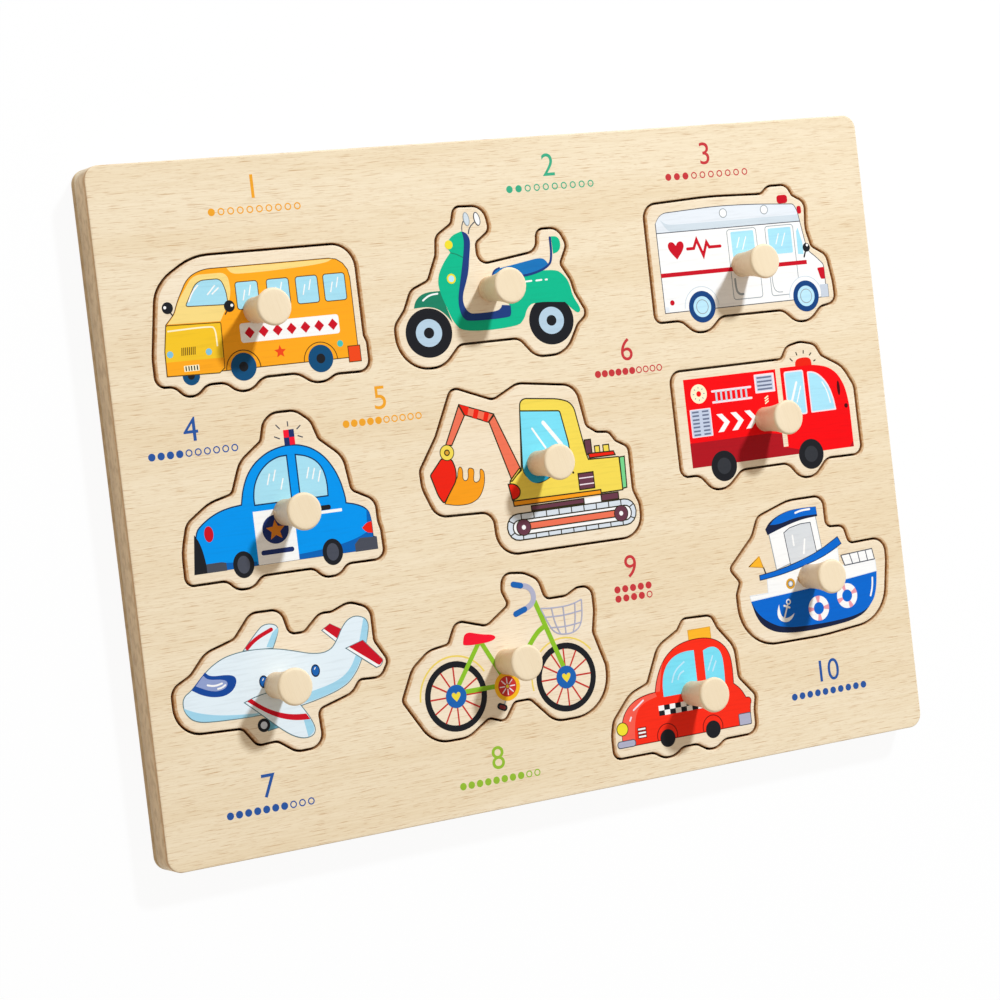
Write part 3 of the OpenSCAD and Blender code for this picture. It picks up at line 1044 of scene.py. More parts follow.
scooter.strokes("leg blue", 0.6, ((38.7, 28.2), (39.6, 30.2), (42, 30.9)), soft=True)
scooter.patch("mint", (63.4, 40, 0), (66, 39.8), (67, 37.4), (66, 34.6), (63.5, 34, 0), soft=True)
for left, right in ((50.8, 54), (55.3, 58), (59, 60.2)):
    scooter.strokes("white", 0.6, ((left, 25.4), (right, 25.5)))
scooter.wheel(22.9, 28.7, ("lamp yellow", 1.7), ("ice", 1.1))
scooter.strokes("slate", 0.35, ((29.1, 44.4), (29.2, 46), (30, 47.6)), soft=True)
scooter.strokes("slate", 0.35, ((31.4, 43.2), (32, 45.3), (34.2, 47)), soft=True)
scooter.disc("haze", 31.2, 48.2, 1.2, 2, 8, line="pencil")
scooter.disc("white", 35.3, 48, 1.2, 2, 12, line="slate")
scooter.finish()

# %% [markdown]
# ## The ambulance
# A white van with grey pencil outlines. Its side carries a red heart with a pulse line.

# %% The ambulance
ambulance = plate_picture("ambulance", 38.5, 22)
ambulance.patch(
    "white", (4, 7.5), (75, 7.6), (75, 12.2), (74.2, 12.4), (74.2, 19.5, 1), (71, 22.6, 1),
    (68.2, 24.8, 1), (67.2, 28, 1), (65.2, 39.5, 1), (63.8, 42.2, 1), (45, 43.4, 5), (30, 43.7, 5),
    (6.4, 42.7, 2.5), (4, 39), line="slate",
)
ambulance.patch(
    "mist", (4.3, 35.8), (65.5, 35.8), (64.9, 39.5, 1), (63.6, 41.9, 1), (45, 43.1, 5), (30, 43.4, 5),
    (6.5, 42.4, 2.2), (4.3, 39.2),
)
ambulance.patch(
    "haze", (6.2, 40.4, 0), (8.4, 38.6), (12, 38.2), (65, 38.2, 0), (65.4, 35.9, 0), (10, 35.9, 0),
    (8, 37.4), soft=True,
)
ambulance.strokes("slate", 0.3, ((4.2, 35.7), (65.6, 35.7)))
for x in (33, 50.7):
    ambulance.disc("white", x, 40.9, 1.7, line="pencil")
for left, right in ((33.5, 46.3), (50, 62.5)):
    ambulance.bar("white", left, 9.8, right, 35, 1.2, line="pencil")
ambulance.bar("pane", 35.2, 25, 45, 34, 0.5)
ambulance.bar("pane", 51.3, 24.7, 61.3, 34, 0.5)
ambulance.patch("pane", (63.4, 24), (65.8, 23.8), (65.8, 28), (64.4, 33.6, 0.5), (63.6, 32))
for x in (38, 55):
    ambulance.strokes("white", 0.4, ((x - 0.8, 28.2), (x + 0.8, 32)), ((x + 1.6, 27.4), (x + 3.6, 32)))
ambulance.bar("signal red", 4.1, 20.1, 66.8, 21.6)
ambulance.strokes("pencil", 0.8, ((35, 17.6), (35, 13), (36.4, 11.6), (38.2, 11.7)), soft=True)
ambulance.strokes("pencil", 0.3, ((51, 17.6), (51, 13), (52.4, 11.1), (55, 11)), soft=True)
for x in (19.8, 64.8):
    ambulance.ring("white", x, 8.7, 7.2, 5, 0, 180)
    ambulance.ring("haze", x, 8.7, 7.3, 7, 0, 180)
    ambulance.wheel(x, 8.7, ("ring blue", 5.6), ("ice", 3.7), ("pencil", 2.6), ("ice", 2.3))
ambulance.bar("signal red", 56.7, 42.6, 61.3, 45.6, 1.1)
ambulance.bar("signal red", 65, 38.4, 66.8, 41.2, 0.7)
ambulance.strokes("black", 0.6, ((67.2, 25.8), (65.8, 22.5)))
ambulance.disc("black", 67.3, 26.1, 1.6)
ambulance.disc("white", 67.7, 26.9, 0.5)
ambulance.patch("signal red", (71, 18.4, 0.5), (74.1, 18.5, 0.4), (74, 14.2, 0.3), (72.2, 14.3, 0.5))
ambulance.bar("silver", 71.5, 7.7, 74.8, 12.3, 0.2)
ambulance.bar("mist", 4.4, 8, 6, 9.8, 0.2)
ambulance.disc("signal red", 7.5, 11.1, 0.95)
ambulance.heart("signal red", 11.6, 29.4, 3.4)
ambulance.strokes(
    "signal red", 1.1,
    ((15.8, 29.4), (19, 29.4), (20.5, 32.4), (22.8, 26.6), (24.6, 31.2), (25.6, 29.4), (30.8, 29.4)),
)
ambulance.finish()

# %% [markdown]
# ## The police car
# One soft blue outline makes the whole car. The badge on its white door is a plain star on a dark
# disc, over a dark stripe.

# %% The police car
police = plate_picture("police_car", 37, 22.5, BOLD_LINE)
police.patch(
    "car blue", (3, 6.6, 0), (4.4, 19.4), (7, 22.2), (12, 25.1), (17, 26.5), (21.7, 26.9, 0),
    (23, 32.4), (26, 37.9), (31, 41.8), (36, 43.7), (41, 44.3), (46, 43.7), (51, 41.3), (55, 37.2),
    (58, 31.3), (59.3, 25), (59.3, 23.1, 0), (63, 22.2), (66.5, 20.4), (67.7, 17.6), (67.7, 11, 0),
    (68.7, 10.6, 0), (68.7, 6.6, 0), soft=True, line="edge blue",
)
police.patch(
    "sill blue", (40, 6.7, 0), (61, 6.7, 0), (67.4, 11, 0), (67.4, 13.4, 0), (62, 11), (54, 9.4),
    (48, 8.8), (40, 8.4, 0), soft=True,
)
police.patch("sill blue", (13.6, 6.7), (25, 6.7), (25, 8), (14, 9))
police.patch("sill blue", (65.8, 15.6, 0), (67.4, 15.6, 0), (67.5, 18), (66.2, 20.2, 0), soft=True)
police.patch("black", (2.8, 6.5, 0), (4.3, 19.2, 0), (6, 16.4), (7.2, 11), (7.4, 6.5, 0), soft=True)
police.patch(
    "glass", (26.3, 25.8, 0), (40, 25.8, 0), (40, 41, 0), (36, 40.9), (31, 38.4), (27.4, 33.8),
    (26.2, 29), soft=True, line="edge blue",
)
police.patch(
    "glass", (42.7, 25.8, 0), (53.1, 25.8, 0), (53.4, 31), (52, 36.4), (48, 39.8), (42.7, 41, 0),
    soft=True, line="edge blue",
)
for x, y in ((31.8, 32), (34, 33), (36.4, 30), (46, 32.5), (48, 32), (50, 31)):
    police.strokes("white", 0.45, ((x, y), (x + 1.2, y + 3.6)))
police.bar("white", 25.5, 6.7, 40, 24)
police.disc("navy", 32.8, 17.5, 4.7)
police.star("star orange", 32.8, 17.2, 3.5)
police.bar("navy", 26.8, 9.6, 38.6, 11.2, 0.8)
police.bar("black", 49.3, 21.5, 53.4, 23.1, 0.7)
police.bar("white", 47, 20.4, 57.3, 21.4, 0.2)
police.patch("slate", (7.3, 6.5), (14.3, 6.5), (14.2, 9), (12.6, 9.4, 0.5), (7.3, 9.4))
police.patch("slate", (60.5, 6.5), (68.8, 6.5), (68.8, 10.6), (62.5, 10.9, 0.6), (60.5, 9))
police.disc("signal red", 9.4, 18.8, 1.6, 1.6)
police.patch(
    "scarlet", (63.8, 14, 0), (65.6, 15.6), (67.5, 15.8, 0), (67.5, 12, 0), (65.4, 12.3), soft=True,
)
for x in (20.2, 52.2):
    police.disc("black", x, 7.6, 3.7, 1.17)
    police.disc("slate", x, 7.6, 2.2, 1.3)
police.checks(("navy", "saddle red"), 39.6, 44, 1.9, 2.5, 2)
police.strokes(
    "slate", 0.4, ((37.2, 51), (38.5, 49.5)), ((41.5, 51.7), (41.5, 50)), ((46, 50), (44.5, 48.8)),
    ((36.2, 47.2), (38.2, 46.3)), ((44.6, 46.7), (46.4, 46)),
)
police.finish()

# %% [markdown]
# ## The excavator
# Every shape here has a dark drawn rim. The tracks are a long rounded bar with a smaller one on
# it, and short lines between the two divide the links.

# %% The excavator
digger = plate_picture("excavator", 45, 29.5, BOLD_LINE)
digger.patch("coral", (10, 39.3), (17, 52.8), (19, 48.6), (12.8, 39), line="sepia")
digger.patch("coral", (27.6, 45.6), (30.2, 48), (38.4, 28), (34, 24.4), line="sepia")
digger.patch("coral", (17, 52.8), (30.4, 48.1), (27.7, 45.2), (19, 48.6), line="sepia")
for points in (
    ((17.3, 52.5), (20.8, 51.3), (19.9, 48.6), (19, 48.9)),
    ((22.8, 50.5), (24.5, 49.9), (23.4, 47), (21.8, 47.6)),
    ((26.6, 49.1), (28.3, 48.5), (27.2, 45.7), (25.6, 46.2)),
):
    digger.patch("scarlet", *points)
digger.patch(
    "claw orange", (7.3, 20, 0), (13.3, 28.6, 0), (14, 31.6), (15.2, 32), (15.9, 30.4), (15.4, 27.6),
    (16.4, 26.8), (17.5, 27.8), (17.5, 30.8), (18.8, 31.2), (20.4, 30.2), (19.3, 26.6), (20.4, 25.8),
    (22, 26.8), (22, 30), (23, 30.4), (24.2, 28.6), (23, 23), (19.5, 19.2), (13, 18.6), soft=True,
    line="sepia", line_width=THIN_LINE,
)
digger.patch(
    "scarlet", (8, 35.4, 0.5), (12.2, 34.8, 1), (13.6, 30.5, 2), (12.8, 27, 1), (7.3, 19.9, 1),
    (5.3, 22.5, 1.5), (3, 30.2, 0.6), line="sepia",
)
digger.wheel(10.5, 37, ("sepia", 2.75), ("machine yellow", 2.45), ("sepia", 1.1), ("brass", 0.7))
digger.bar("maroon", 64, 30, 67, 35.6, line="sepia")
for left, right in ((67.8, 70.2), (71.2, 74)):
    digger.bar("machine yellow", left, 30, right, 33.1, line="sepia")
digger.patch(
    "machine yellow", (40, 48), (40.4, 51.2, 1.2), (42.4, 52.2, 1), (57, 50.6, 3), (61.6, 48.4, 2.5),
    (64.7, 30.5), (65.2, 28.8), (77.6, 28.4, 0.6), (77.7, 16.4), (34, 16.2), (33, 24.5), (38, 28),
    line="sepia",
)
digger.patch("scarlet", (65, 30.8), (75.6, 30.6), (76.3, 28.8), (65.3, 28.8), line="sepia")
digger.patch("leaf", (77.2, 16.8), (79.4, 17.1), (79.8, 28.3), (77.3, 28.2), line="sepia")
digger.patch(
    "cyan", (40, 48.2), (56, 46.6, 0.8), (58.5, 33, 3), (57.6, 29), (48, 23.4, 2), (43, 22.2, 2.5),
    (38.4, 27, 2), line="sepia",
)
digger.patch(
    "lagoon", (38.9, 27.6, 0), (41, 30, 0), (44, 26), (50, 25.4, 0), (47.8, 23.7, 0), (43.2, 22.6),
    (40.4, 24.4), soft=True,
)
digger.strokes("white", 1.4, ((48.4, 43.6), (55.4, 34.4)))
digger.strokes("white", 0.7, ((44, 41.8), (48.8, 34.2)))
digger.patch("machine yellow", (33, 24.8), (37.4, 28.9), (38.4, 28.2), (34.2, 24.4), line="sepia")
digger.patch(
    "scarlet", (32.2, 24, 0), (34.6, 24), (36.6, 22.6), (37.2, 20.6), (36, 18.6), (33.2, 18, 0),
    soft=True, line="sepia",
)
digger.bar("maroon", 60, 18.4, 66.5, 24.4, line="sepia")
digger.strokes("rose white", 0.4, ((60.4, 22.5), (66.2, 22.5)), ((60.4, 20.3), (66.2, 20.3)))
digger.disc("sepia", 58.4, 24.8, 0.4)
digger.patch("claw orange", (33.6, 15.9), (33.4, 18.1), (68.8, 17.9), (68.8, 15.9), line="sepia")
digger.bar("maroon", 40.2, 13.6, 61.6, 15.7, line="sepia")
digger.bar("white", 61.6, 13.6, 68.2, 15.5)
digger.bar("maroon", 68.2, 13.5, 75.6, 16.3, line="sepia")
digger.bar("link grey", 30, 4.2, 82, 13.6, 4.6, line="sepia")
for x in range(36, 78, 5):
    digger.strokes("sepia", 0.4, ((x, 11.2), (x, 13.5)), ((x, 4.3), (x, 6.2)))
for x, inward in ((31, 2.4), (81, -2.4)):
    digger.strokes("sepia", 0.4, ((x, 11.4), (x + inward, 10)), ((x, 6.2), (x + inward, 7.4)))
digger.bar("white", 32.2, 5.9, 80, 11.4, 2.6, line="sepia")
digger.bar("coral", 38, 7.4, 74.5, 10.2, line="sepia")
for x in (36.5, 75.6):
    digger.wheel(x, 8.6, ("sepia", 2.9), ("maroon", 2.6), ("white", 0.8))
digger.finish()

# %% [markdown]
# ## The fire truck
# Ladder, hose ring and louvres are small rows of lines, so loops draw them. White chevrons fill
# the middle of its side.

# %% The fire truck
truck = plate_picture("fire_truck", 38, 22.5)
truck.bar("engine red", 5.2, 8.6, 44.7, 39.8)
truck.bar("engine red", 44, 8.6, 47.5, 11.8)
truck.patch(
    "engine red", (46.8, 8.6), (75.5, 8.6), (75.5, 26, 4), (73.6, 33, 3), (69.6, 37.8, 3), (62, 40, 4),
    (46.8, 40),
)
truck.patch(
    "deep red", (5.2, 8.6), (56, 8.6), (50, 10.6, 2), (44.7, 11.8), (44.7, 16.4), (40, 17.3, 2),
    (5.2, 17.3),
)
truck.disc("cream", 11.1, 34.3, 3.4)
truck.spokes("pencil", 0.35, 11.1, 34.3, 1.9, 2.5, range(0, 360, 45))
truck.disc("engine red", 11.1, 34.3, 1)
truck.strokes("rose white", 0.8, ((16.4, 34.6), (33.6, 34.6)), ((16.4, 30.7), (33.6, 30.7)))
for x in (18.4, 20.5, 22.6, 24.7, 26.9, 29.1, 31.2):
    truck.bar("silver", x - 0.4, 30.8, x + 0.4, 34.5)
truck.bar("rose white", 35.2, 32, 43.8, 38.7, 0.3)
truck.bar("vent blue", 35.9, 32.7, 43.1, 38)
for y in (33.3, 34.6, 36, 37.4):
    truck.bar("louvre", 36.3, y - 0.3, 42.6, y + 0.3)
truck.bar("rose white", 6.5, 19.1, 15.3, 29, 0.3)
truck.bar("vent blue", 6.9, 19.4, 14.9, 28.7)
for y in (20, 21.3, 22.7, 24, 25.3, 26.7, 28):
    truck.bar("louvre", 7.4, y - 0.3, 10.2, y + 0.3)
    truck.bar("louvre", 11.6, y - 0.3, 14.3, y + 0.3)
for x in (17.5, 23.5, 29.5):
    truck.patch(
        "white", (x, 26.4), (x + 2.4, 26.4), (x + 5.4, 23.2), (x + 2.4, 20), (x, 20), (x + 3, 23.2),
    )
for y in (28.4, 29.3, 30.2):
    truck.strokes("cream", 0.45, ((38.8, y - 0.4), (40.4, y + 0.5)))
truck.patch("rose white", (48.2, 22.5, 0.5), (56.7, 22.5, 0.8), (56.7, 38.5, 0.8), (48.2, 38.5, 0.8))
truck.patch("pane", (48.7, 23, 0.4), (56.2, 23, 0.6), (56.2, 38, 0.6), (48.7, 38, 0.6))
truck.strokes("white", 0.9, ((50.4, 27.6), (53.4, 34.6)))
truck.strokes("white", 0.5, ((52.6, 27), (55, 32.8)))
truck.patch(
    "rose white", (58.4, 22.7, 0.3), (69.5, 22.7, 0.3), (68.6, 29, 3), (65.8, 34.6, 3), (61.4, 37.6, 2),
    (58.4, 37.6, 0.4),
)
truck.patch(
    "pane", (58.9, 23.2, 0.3), (68.9, 23.2, 0.3), (68, 29, 2.8), (65.4, 34.1, 2.8), (61.2, 37.1, 2),
    (58.9, 37.1, 0.4),
)
truck.strokes("white", 0.5, ((64.4, 33.4), (66.3, 30), (67.2, 25.4)), soft=True)
truck.patch(
    "scarlet", (53.6, 39.8, 0), (53.8, 41.8), (55.4, 42.8), (59.6, 42.8), (60.8, 41.6), (60.8, 39.8, 0),
    soft=True,
)
truck.strokes(
    "sepia", 0.45, ((51.6, 43), (52.7, 41.9)), ((54.5, 45), (54.9, 43.8)), ((57.9, 45.4), (57.7, 44.2)),
    ((61.2, 44.2), (60.2, 43.3)), ((62.8, 41.5), (61.8, 41.1)),
)
truck.disc("oxblood", 71.5, 30.4, 0.65, 4.1)
truck.disc("oxblood", 74, 23.7, 0.8)
truck.patch("deep red", (73.6, 8.7), (75.4, 8.7), (75.4, 10.6))
for x in (18.4, 56.3):
    truck.wheel(x, 8, ("black", 5.4), ("charcoal", 2.9))
truck.finish()

# %% [markdown]
# ## The ship
# A soft hull with a dark keel under it. The life rings are pink and white quarters of a ring, and
# the anchor is three strokes and a crescent.

# %% The ship
ship = plate_picture("ship", 32, 21.5)
ship.patch(
    "midnight", (6.2, 15.6, 0), (8, 9), (12, 5), (18, 2.8), (28, 2), (42, 2.4), (52, 3.6), (57.6, 6.8),
    (60, 11, 0), soft=True,
)
ship.patch(
    "hull blue", (6.2, 15.8, 0), (33, 17.2, 0), (49.5, 18.3, 0), (62.3, 19.4, 0), (61.4, 13), (59, 8.2),
    (54, 5.2), (44, 4), (30, 3.9), (19, 4.6), (12.5, 7.6), (8.2, 11.4), soft=True,
)
ship.patch(
    "white", (5.8, 18, 0.3), (13.8, 18), (14, 23.4), (46.2, 30), (46.2, 24), (48.7, 23.3),
    (62.3, 24, 0.4), (62.4, 19.4), (49.5, 18.3), (33, 17.2), (6.2, 15.8), line="mist",
)
ship.patch(
    "white", (16.8, 39), (18.5, 25.4), (39.4, 30.6), (37.9, 44), (32, 44), (25, 42.4), line="pencil",
)
ship.patch(
    "cabin grey", (23.3, 38.4), (26, 39.9), (31, 40.8), (35.5, 40.8), (37, 29), (24.7, 26.4), line="slate"
)
ship.strokes("white", 0.7, ((27.2, 33), (27, 37.2)), ((31, 29.6), (32.2, 35.2)))
ship.patch(
    "hull blue", (10.9, 24.7, 0), (20, 25.6), (30, 27.8), (38, 30.2), (43, 32.5), (46.6, 34.2, 0),
    (48.1, 31.3, 0), (44, 29.3), (38, 27.1), (30, 25.2), (20, 23.4), (10.9, 22.7, 0), soft=True,
    line="edge blue",
)
ship.patch(
    "midnight", (15.7, 40.5, 0), (18, 43.2), (24, 45.6), (30, 46.3), (38.6, 46, 0), (38.8, 42.5, 0),
    (32, 42.2), (25, 40.8), (16.4, 38.4, 0), soft=True,
)
ship.patch(
    "hull blue", (17.9, 41.8, 0), (20, 43.8), (25, 45.6), (30, 46.2), (38.5, 45.9, 0), (38.6, 43.2, 0),
    (30, 43.3), (22, 41.6), soft=True,
)
ship.strokes("white", 0.7, ((29, 44.7), (32, 45.4), (36, 45.4)), soft=True)
ship.patch("amber", (6.6, 28.2, 0.3), (11.8, 31.6, 0.4), (13.2, 27, 0.3), line="brass")
ship.strokes("sepia", 0.4, ((13.1, 27.2), (13.8, 24.8)))
ship.wheel(23.9, 19.9, ("brass", 1.95), ("slate", 1.15), ("silver", 0.95), ("white", 0.5))
ship.strokes("brass", 0.4, ((27.3, 22), (27.6, 20.2), (29, 19)), soft=True)
for x, y, turn in ((35, 9.5, 0), (48, 12.3, 20)):
    ship.ring("white", x, y, 4.5, 2.2)
    for quarter in range(4):
        ship.ring("ring pink", x, y, 4.5, 2.2, turn + 78 + 90 * quarter, 24)
ship.ring("white", 22.1, 13.6, 1.05, 0.55)
ship.strokes("white", 0.6, ((21.7, 12.8), (19.6, 8)))
ship.strokes("white", 0.7, ((19.8, 12.6), (22.6, 11.4)))
ship.patch(
    "white", (17.9, 13.2, 0), (16.6, 10.4), (17.2, 7.6), (20.4, 6.2), (23, 7.4), (24.2, 9.3, 0),
    (22.4, 8.2), (20, 7.8), (18.4, 9), (18, 11), soft=True,
)
ship.patch("white", (47.2, 27.1), (61.2, 27.8), (61.9, 23.9), (48.5, 23.3))
ship.strokes(
    "slate", 0.35, ((47.2, 27.1), (61.2, 27.8), (61.9, 23.9), (48.5, 23.3), (47.2, 27.1)),
    ((51, 27.2), (52, 23.5)), ((54.7, 27.4), (55.3, 23.6)), ((58.2, 27.6), (58.8, 23.8)),
)
ship.strokes("white", 0.7, ((60.1, 17.6), (59.7, 14), (58.3, 10.6)), soft=True)
ship.finish()

# %% [markdown]
# ## The airplane
# The far wing and the far tailplane come first, then the fuselage, then what is nearer. Shade is
# a second, bluer film along the belly and the fin.

# %% The airplane
plane = plate_picture("airplane", 35.5, 22.5)
plane.patch(
    "plane white", (25, 35, 0), (31, 41), (33.6, 42.8), (37.4, 42.4), (38.9, 40.6), (37.6, 37.4),
    (36, 34.4, 0), soft=True, line="plane line",
)
plane.patch(
    "plane shade", (33.6, 35.2, 0), (36.2, 39.4, 0), (38.6, 41.2), (38.4, 39.4), (35.8, 34.8, 0),
    soft=True,
)
plane.strokes("signal red", 1.3, ((26.4, 35.4), (30, 38.4), (36.6, 40.8)), soft=True)
plane.patch("white", (53.6, 37.8), (57, 39.6), (61.4, 37), (58.6, 33), line="plane line")
plane.patch("signal red", (54.6, 38.2), (57, 39.5), (61.2, 37), (59.2, 34.2))
plane.patch(
    "plane white", (2.2, 20.8), (3, 23.8), (6, 25.3), (11, 30.2), (16, 33.3), (21, 34.8), (28, 35.3),
    (36, 34.6), (43, 32.8), (50, 30.6), (55.6, 30.7), (58.6, 33.6), (61.4, 38.4), (64.8, 40.9),
    (68.6, 40.6), (71.2, 38.6), (70.6, 34.2), (67.4, 26.4), (64, 21.4), (59.6, 18), (50, 15.5),
    (40, 14), (28, 13.5), (12, 14), (6, 14.9), (3.2, 17.6), soft=True, line="plane line",
)
plane.patch(
    "plane shade", (2.6, 20, 0), (8, 17.4), (17, 15.4), (30, 14.4, 0), (26, 13.8, 0), (12, 14.3),
    (6.2, 15.2), (3.4, 17.8), soft=True,
)
plane.patch(
    "plane shade", (42, 15, 0), (46, 18.4, 0), (56, 20), (62, 23), (65.4, 28.6, 0), (67.4, 27.4, 0),
    (63.8, 21.8), (59.4, 18.4), (50, 15.9), soft=True,
)
plane.patch(
    "plane shade", (66.8, 32, 0), (69.4, 39.8, 0), (70.8, 38), (70.2, 34.4), (69.4, 31.6, 0), soft=True,
)
plane.patch(
    "white", (61.4, 30.8), (68.2, 32.6), (75, 24.9, 0.8), (73.7, 23.1, 0.5), (72, 22.7),
    line="plane line",
)
plane.patch("signal red", (62.9, 31), (68.1, 32.4), (74.8, 24.9, 0.6), (73.2, 23.4, 0.5))
plane.patch("strut blue", (30.6, 8.2), (35.2, 8.8), (33.6, 12.6), (30.6, 12), line="plane line")
plane.wheel(29.5, 10.4, ("black", 2.2), ("silver", 1.2))
plane.patch(
    "plane white", (23.3, 18.7, 0), (29, 13.8), (36, 7.4), (41, 4.2), (45.4, 3.7), (47.7, 5.4),
    (47.2, 8.4), (45, 12.5), (42.6, 16, 0), (33.5, 20.9, 0), (28, 20.2), soft=True, line="plane line",
)
plane.patch(
    "plane shade", (43.6, 10.4, 0), (44.6, 4.2, 0), (47.2, 5.6), (46.8, 8.2), (45.8, 10, 0), soft=True,
)
plane.patch(
    "signal red", (24.6, 18.9, 0), (26.2, 19.5, 0), (30, 16.3), (35, 13.7), (40, 12.2), (44.8, 11.8, 0),
    (46, 9.8, 0), (42, 10), (37.5, 11), (33, 12.9), (28, 16.2), soft=True,
)
plane.patch(
    "cockpit blue", (11.3, 30.3, 0), (13, 28.6), (19, 28.5), (21.9, 27.4), (21.6, 24.6), (19, 22.2),
    (15, 21.6), (10, 22.8), (6, 25.3, 0), soft=True,
)
plane.patch(
    "lavender", (10.6, 29.4, 0), (12, 27.7), (17.4, 27.2), (19, 25.8), (17.4, 23.8), (13, 23.7),
    (7.6, 26.4, 0), soft=True,
)
plane.strokes(
    "white", 0.6, ((11.4, 26.2), (14, 25.4), (17, 26)), ((14.8, 24.4), (16.6, 24.6), (18, 25.4)),
    soft=True,
)
for x, y in ((31.2, 24.3), (49.9, 25.1)):
    plane.disc("midnight", x, y, 1.6, 1.3)
    plane.disc("grip blue", x, y, 1.25, 1.3)
    plane.strokes("white", 0.3, ((x - 0.4, y + 0.4), (x + 0.1, y + 1.1)))
plane.finish()

# %% [markdown]
# ## The bicycle
# Spokes are lines on a circle, so a loop draws them. The frame is wide green strokes, and the
# basket is a net of thin grey ones.

# %% The bicycle
bike = plate_picture("bicycle", 39.5, 22.5)
for x, first, sweep in ((19.2, 30, 150), (62.3, 36, 96)):
    bike.ring("guard yellow", x, 13.8, 13.8, 13.2, first, sweep)
    bike.ring("black", x, 13.8, 11.8, 9.7)
    bike.spokes("spoke red", 0.55, x, 13.8, 3.4, 9.8, range(0, 360, 30))
bike.ring("guard yellow", 62.3, 13.8, 13.8, 13.2, 168, 24)
bike.strokes(
    "grass", 1.6, ((20.4, 17), (30.2, 30.6)), ((30.8, 30.6), (37.6, 18)), ((22, 14.8), (35.6, 14.8)),
)
bike.strokes("grass", 1.7, ((56.4, 32.4), (52.8, 30.6), (48, 25), (40, 17)), soft=True)
bike.strokes("grass", 1.7, ((53.1, 41.8), (61.8, 17.2)))
for x in (19.2, 62.3):
    bike.disc("grip blue", x, 13.8, 3.9)
    bike.heart("heart yellow", x, 13.7, 1.7)
bike.patch(
    "saddle red", (24, 31), (25.3, 34.9), (31, 33), (36.6, 32.2), (36.6, 30.4), (31, 29.8),
    (24.4, 30.1), soft=True,
)
bike.wheel(39, 14.2, ("chain yellow", 4.9), ("spoke red", 3.5))
bike.spokes("rose white", 0.4, 39, 14.2, -3, 3, range(0, 180, 45))
bike.disc("spoke red", 39, 14.2, 0.9)
bike.disc("heart yellow", 39, 14.2, 0.6)
bike.strokes("pencil", 0.4, ((37.7, 9.4), (36.6, 7.4)))
bike.strokes("black", 2.2, ((34.4, 8.4), (38, 6.7)))
bike.strokes("pedal red", 1.2, ((35.1, 8), (37.3, 7)))
bike.strokes(
    "lilac grey", 1.9, ((49, 47.2), (52, 46.2), (53.4, 43.4), (52.6, 40.6), (49.4, 39)), soft=True,
)
bike.strokes("grip blue", 2, ((44.9, 48.2), (49.6, 46.9)), ((44.6, 37.6), (50.1, 39.3)))
bike.strokes(
    "lilac grey", 0.45, ((55.3, 38.4), (60, 37.9), (67, 37.9), (71.8, 39.3)),
    ((56.6, 35.2), (64, 34.8), (71.6, 35.6)), ((58.2, 31.4), (64, 30.9), (70.8, 31.6)),
    ((55.3, 38.4), (57.4, 33.6), (59.6, 29.4), (64, 28.2), (68.6, 28.8), (71.2, 32), (71.8, 39.3)),
    ((59.6, 38), (60.2, 33), (62, 28.8)), ((64.2, 37.8), (64.2, 28.3)),
    ((69, 38.2), (68.4, 32), (67, 28.5)), soft=True,
)
bike.finish()

# %% [markdown]
# ## The taxi
# A red car with a lighter bonnet edge, a plain amber roof lamp and two rows of checks.

# %% The taxi
taxi = plate_picture("taxi", 34, 20.5)
taxi.bar("amber", 35.1, 38.4, 44.7, 42.7, line="brass")
taxi.patch(
    "taxi red", (3.6, 6, 0), (3.5, 10), (4, 14.6), (6, 18.6), (10, 21.7), (15, 23), (18.9, 23.3, 0),
    (20, 27.4), (22.6, 32.4), (26, 36), (31, 38.6), (38, 39.5), (44, 38.9), (48.5, 36.7), (51.5, 32.9),
    (52.3, 28), (52, 21.4, 0), (54.8, 19), (56.5, 15.8, 0), (58, 15.7), (58.8, 14.2), (57.8, 12.4),
    (57.6, 6, 0), soft=True, line="taxi dark",
)
taxi.patch(
    "taxi pale", (3.8, 8.2, 0), (3.7, 11), (4.4, 14.8), (6.6, 19), (11, 21.8), (19, 23, 0),
    (19.5, 21.6, 0), (13.4, 20.2), (10.6, 17.5), (9.2, 13), (8.8, 8.2, 0), soft=True,
)
taxi.patch(
    "taxi pale", (19.2, 23.2, 0), (20.4, 27.4), (23.6, 33.4, 0), (22.4, 30), (21, 23.2, 0), soft=True,
)
taxi.patch(
    "cyan", (22.3, 21, 0), (22.3, 26), (24, 31), (27.6, 34.2), (32, 35.5), (36.8, 35.4, 0),
    (36.8, 21, 0), soft=True,
)
taxi.patch(
    "cyan", (40.5, 21.4, 0), (40.6, 34.7, 0), (43.6, 35.7), (46.6, 35), (48.4, 32.2), (48.6, 27),
    (48.3, 21.4, 0), soft=True,
)
taxi.strokes(
    "ice", 0.55, ((26.3, 25.4), (28, 29.4), (32.4, 32)), ((28.8, 26), (29.8, 28), (31.8, 28.8)),
    soft=True,
)
taxi.strokes("ice", 0.55, ((41.8, 27.4), (44.4, 32.4)), ((43.6, 26.8), (45.6, 30.4)))
taxi.checks(("black", "white"), 19.7, 14.7, 2.3, 1.75, 8)
for x in (22.1, 41.2):
    taxi.ring("taxi dark", x, 7.5, 4.3, 4, -20, 220)
    taxi.wheel(x, 6.6, ("black", 3.1))
taxi.disc("lamp yellow", 4.1, 12.5, 2.4, line="umber")
taxi.bar("lilac grey", 1.4, 5.9, 9, 8.5, 1.1, line="slate")
taxi.bar("lilac grey", 52.3, 5.9, 57.7, 10.3, 0.6, line="slate")
for y in (8.8, 10.1, 11.4):
    taxi.bar("white", 10.1, y - 0.6, 13.7, y + 0.6, line="taxi dark")
taxi.strokes("taxi pale", 0.9, ((9.2, 18.2), (14, 21.3)))
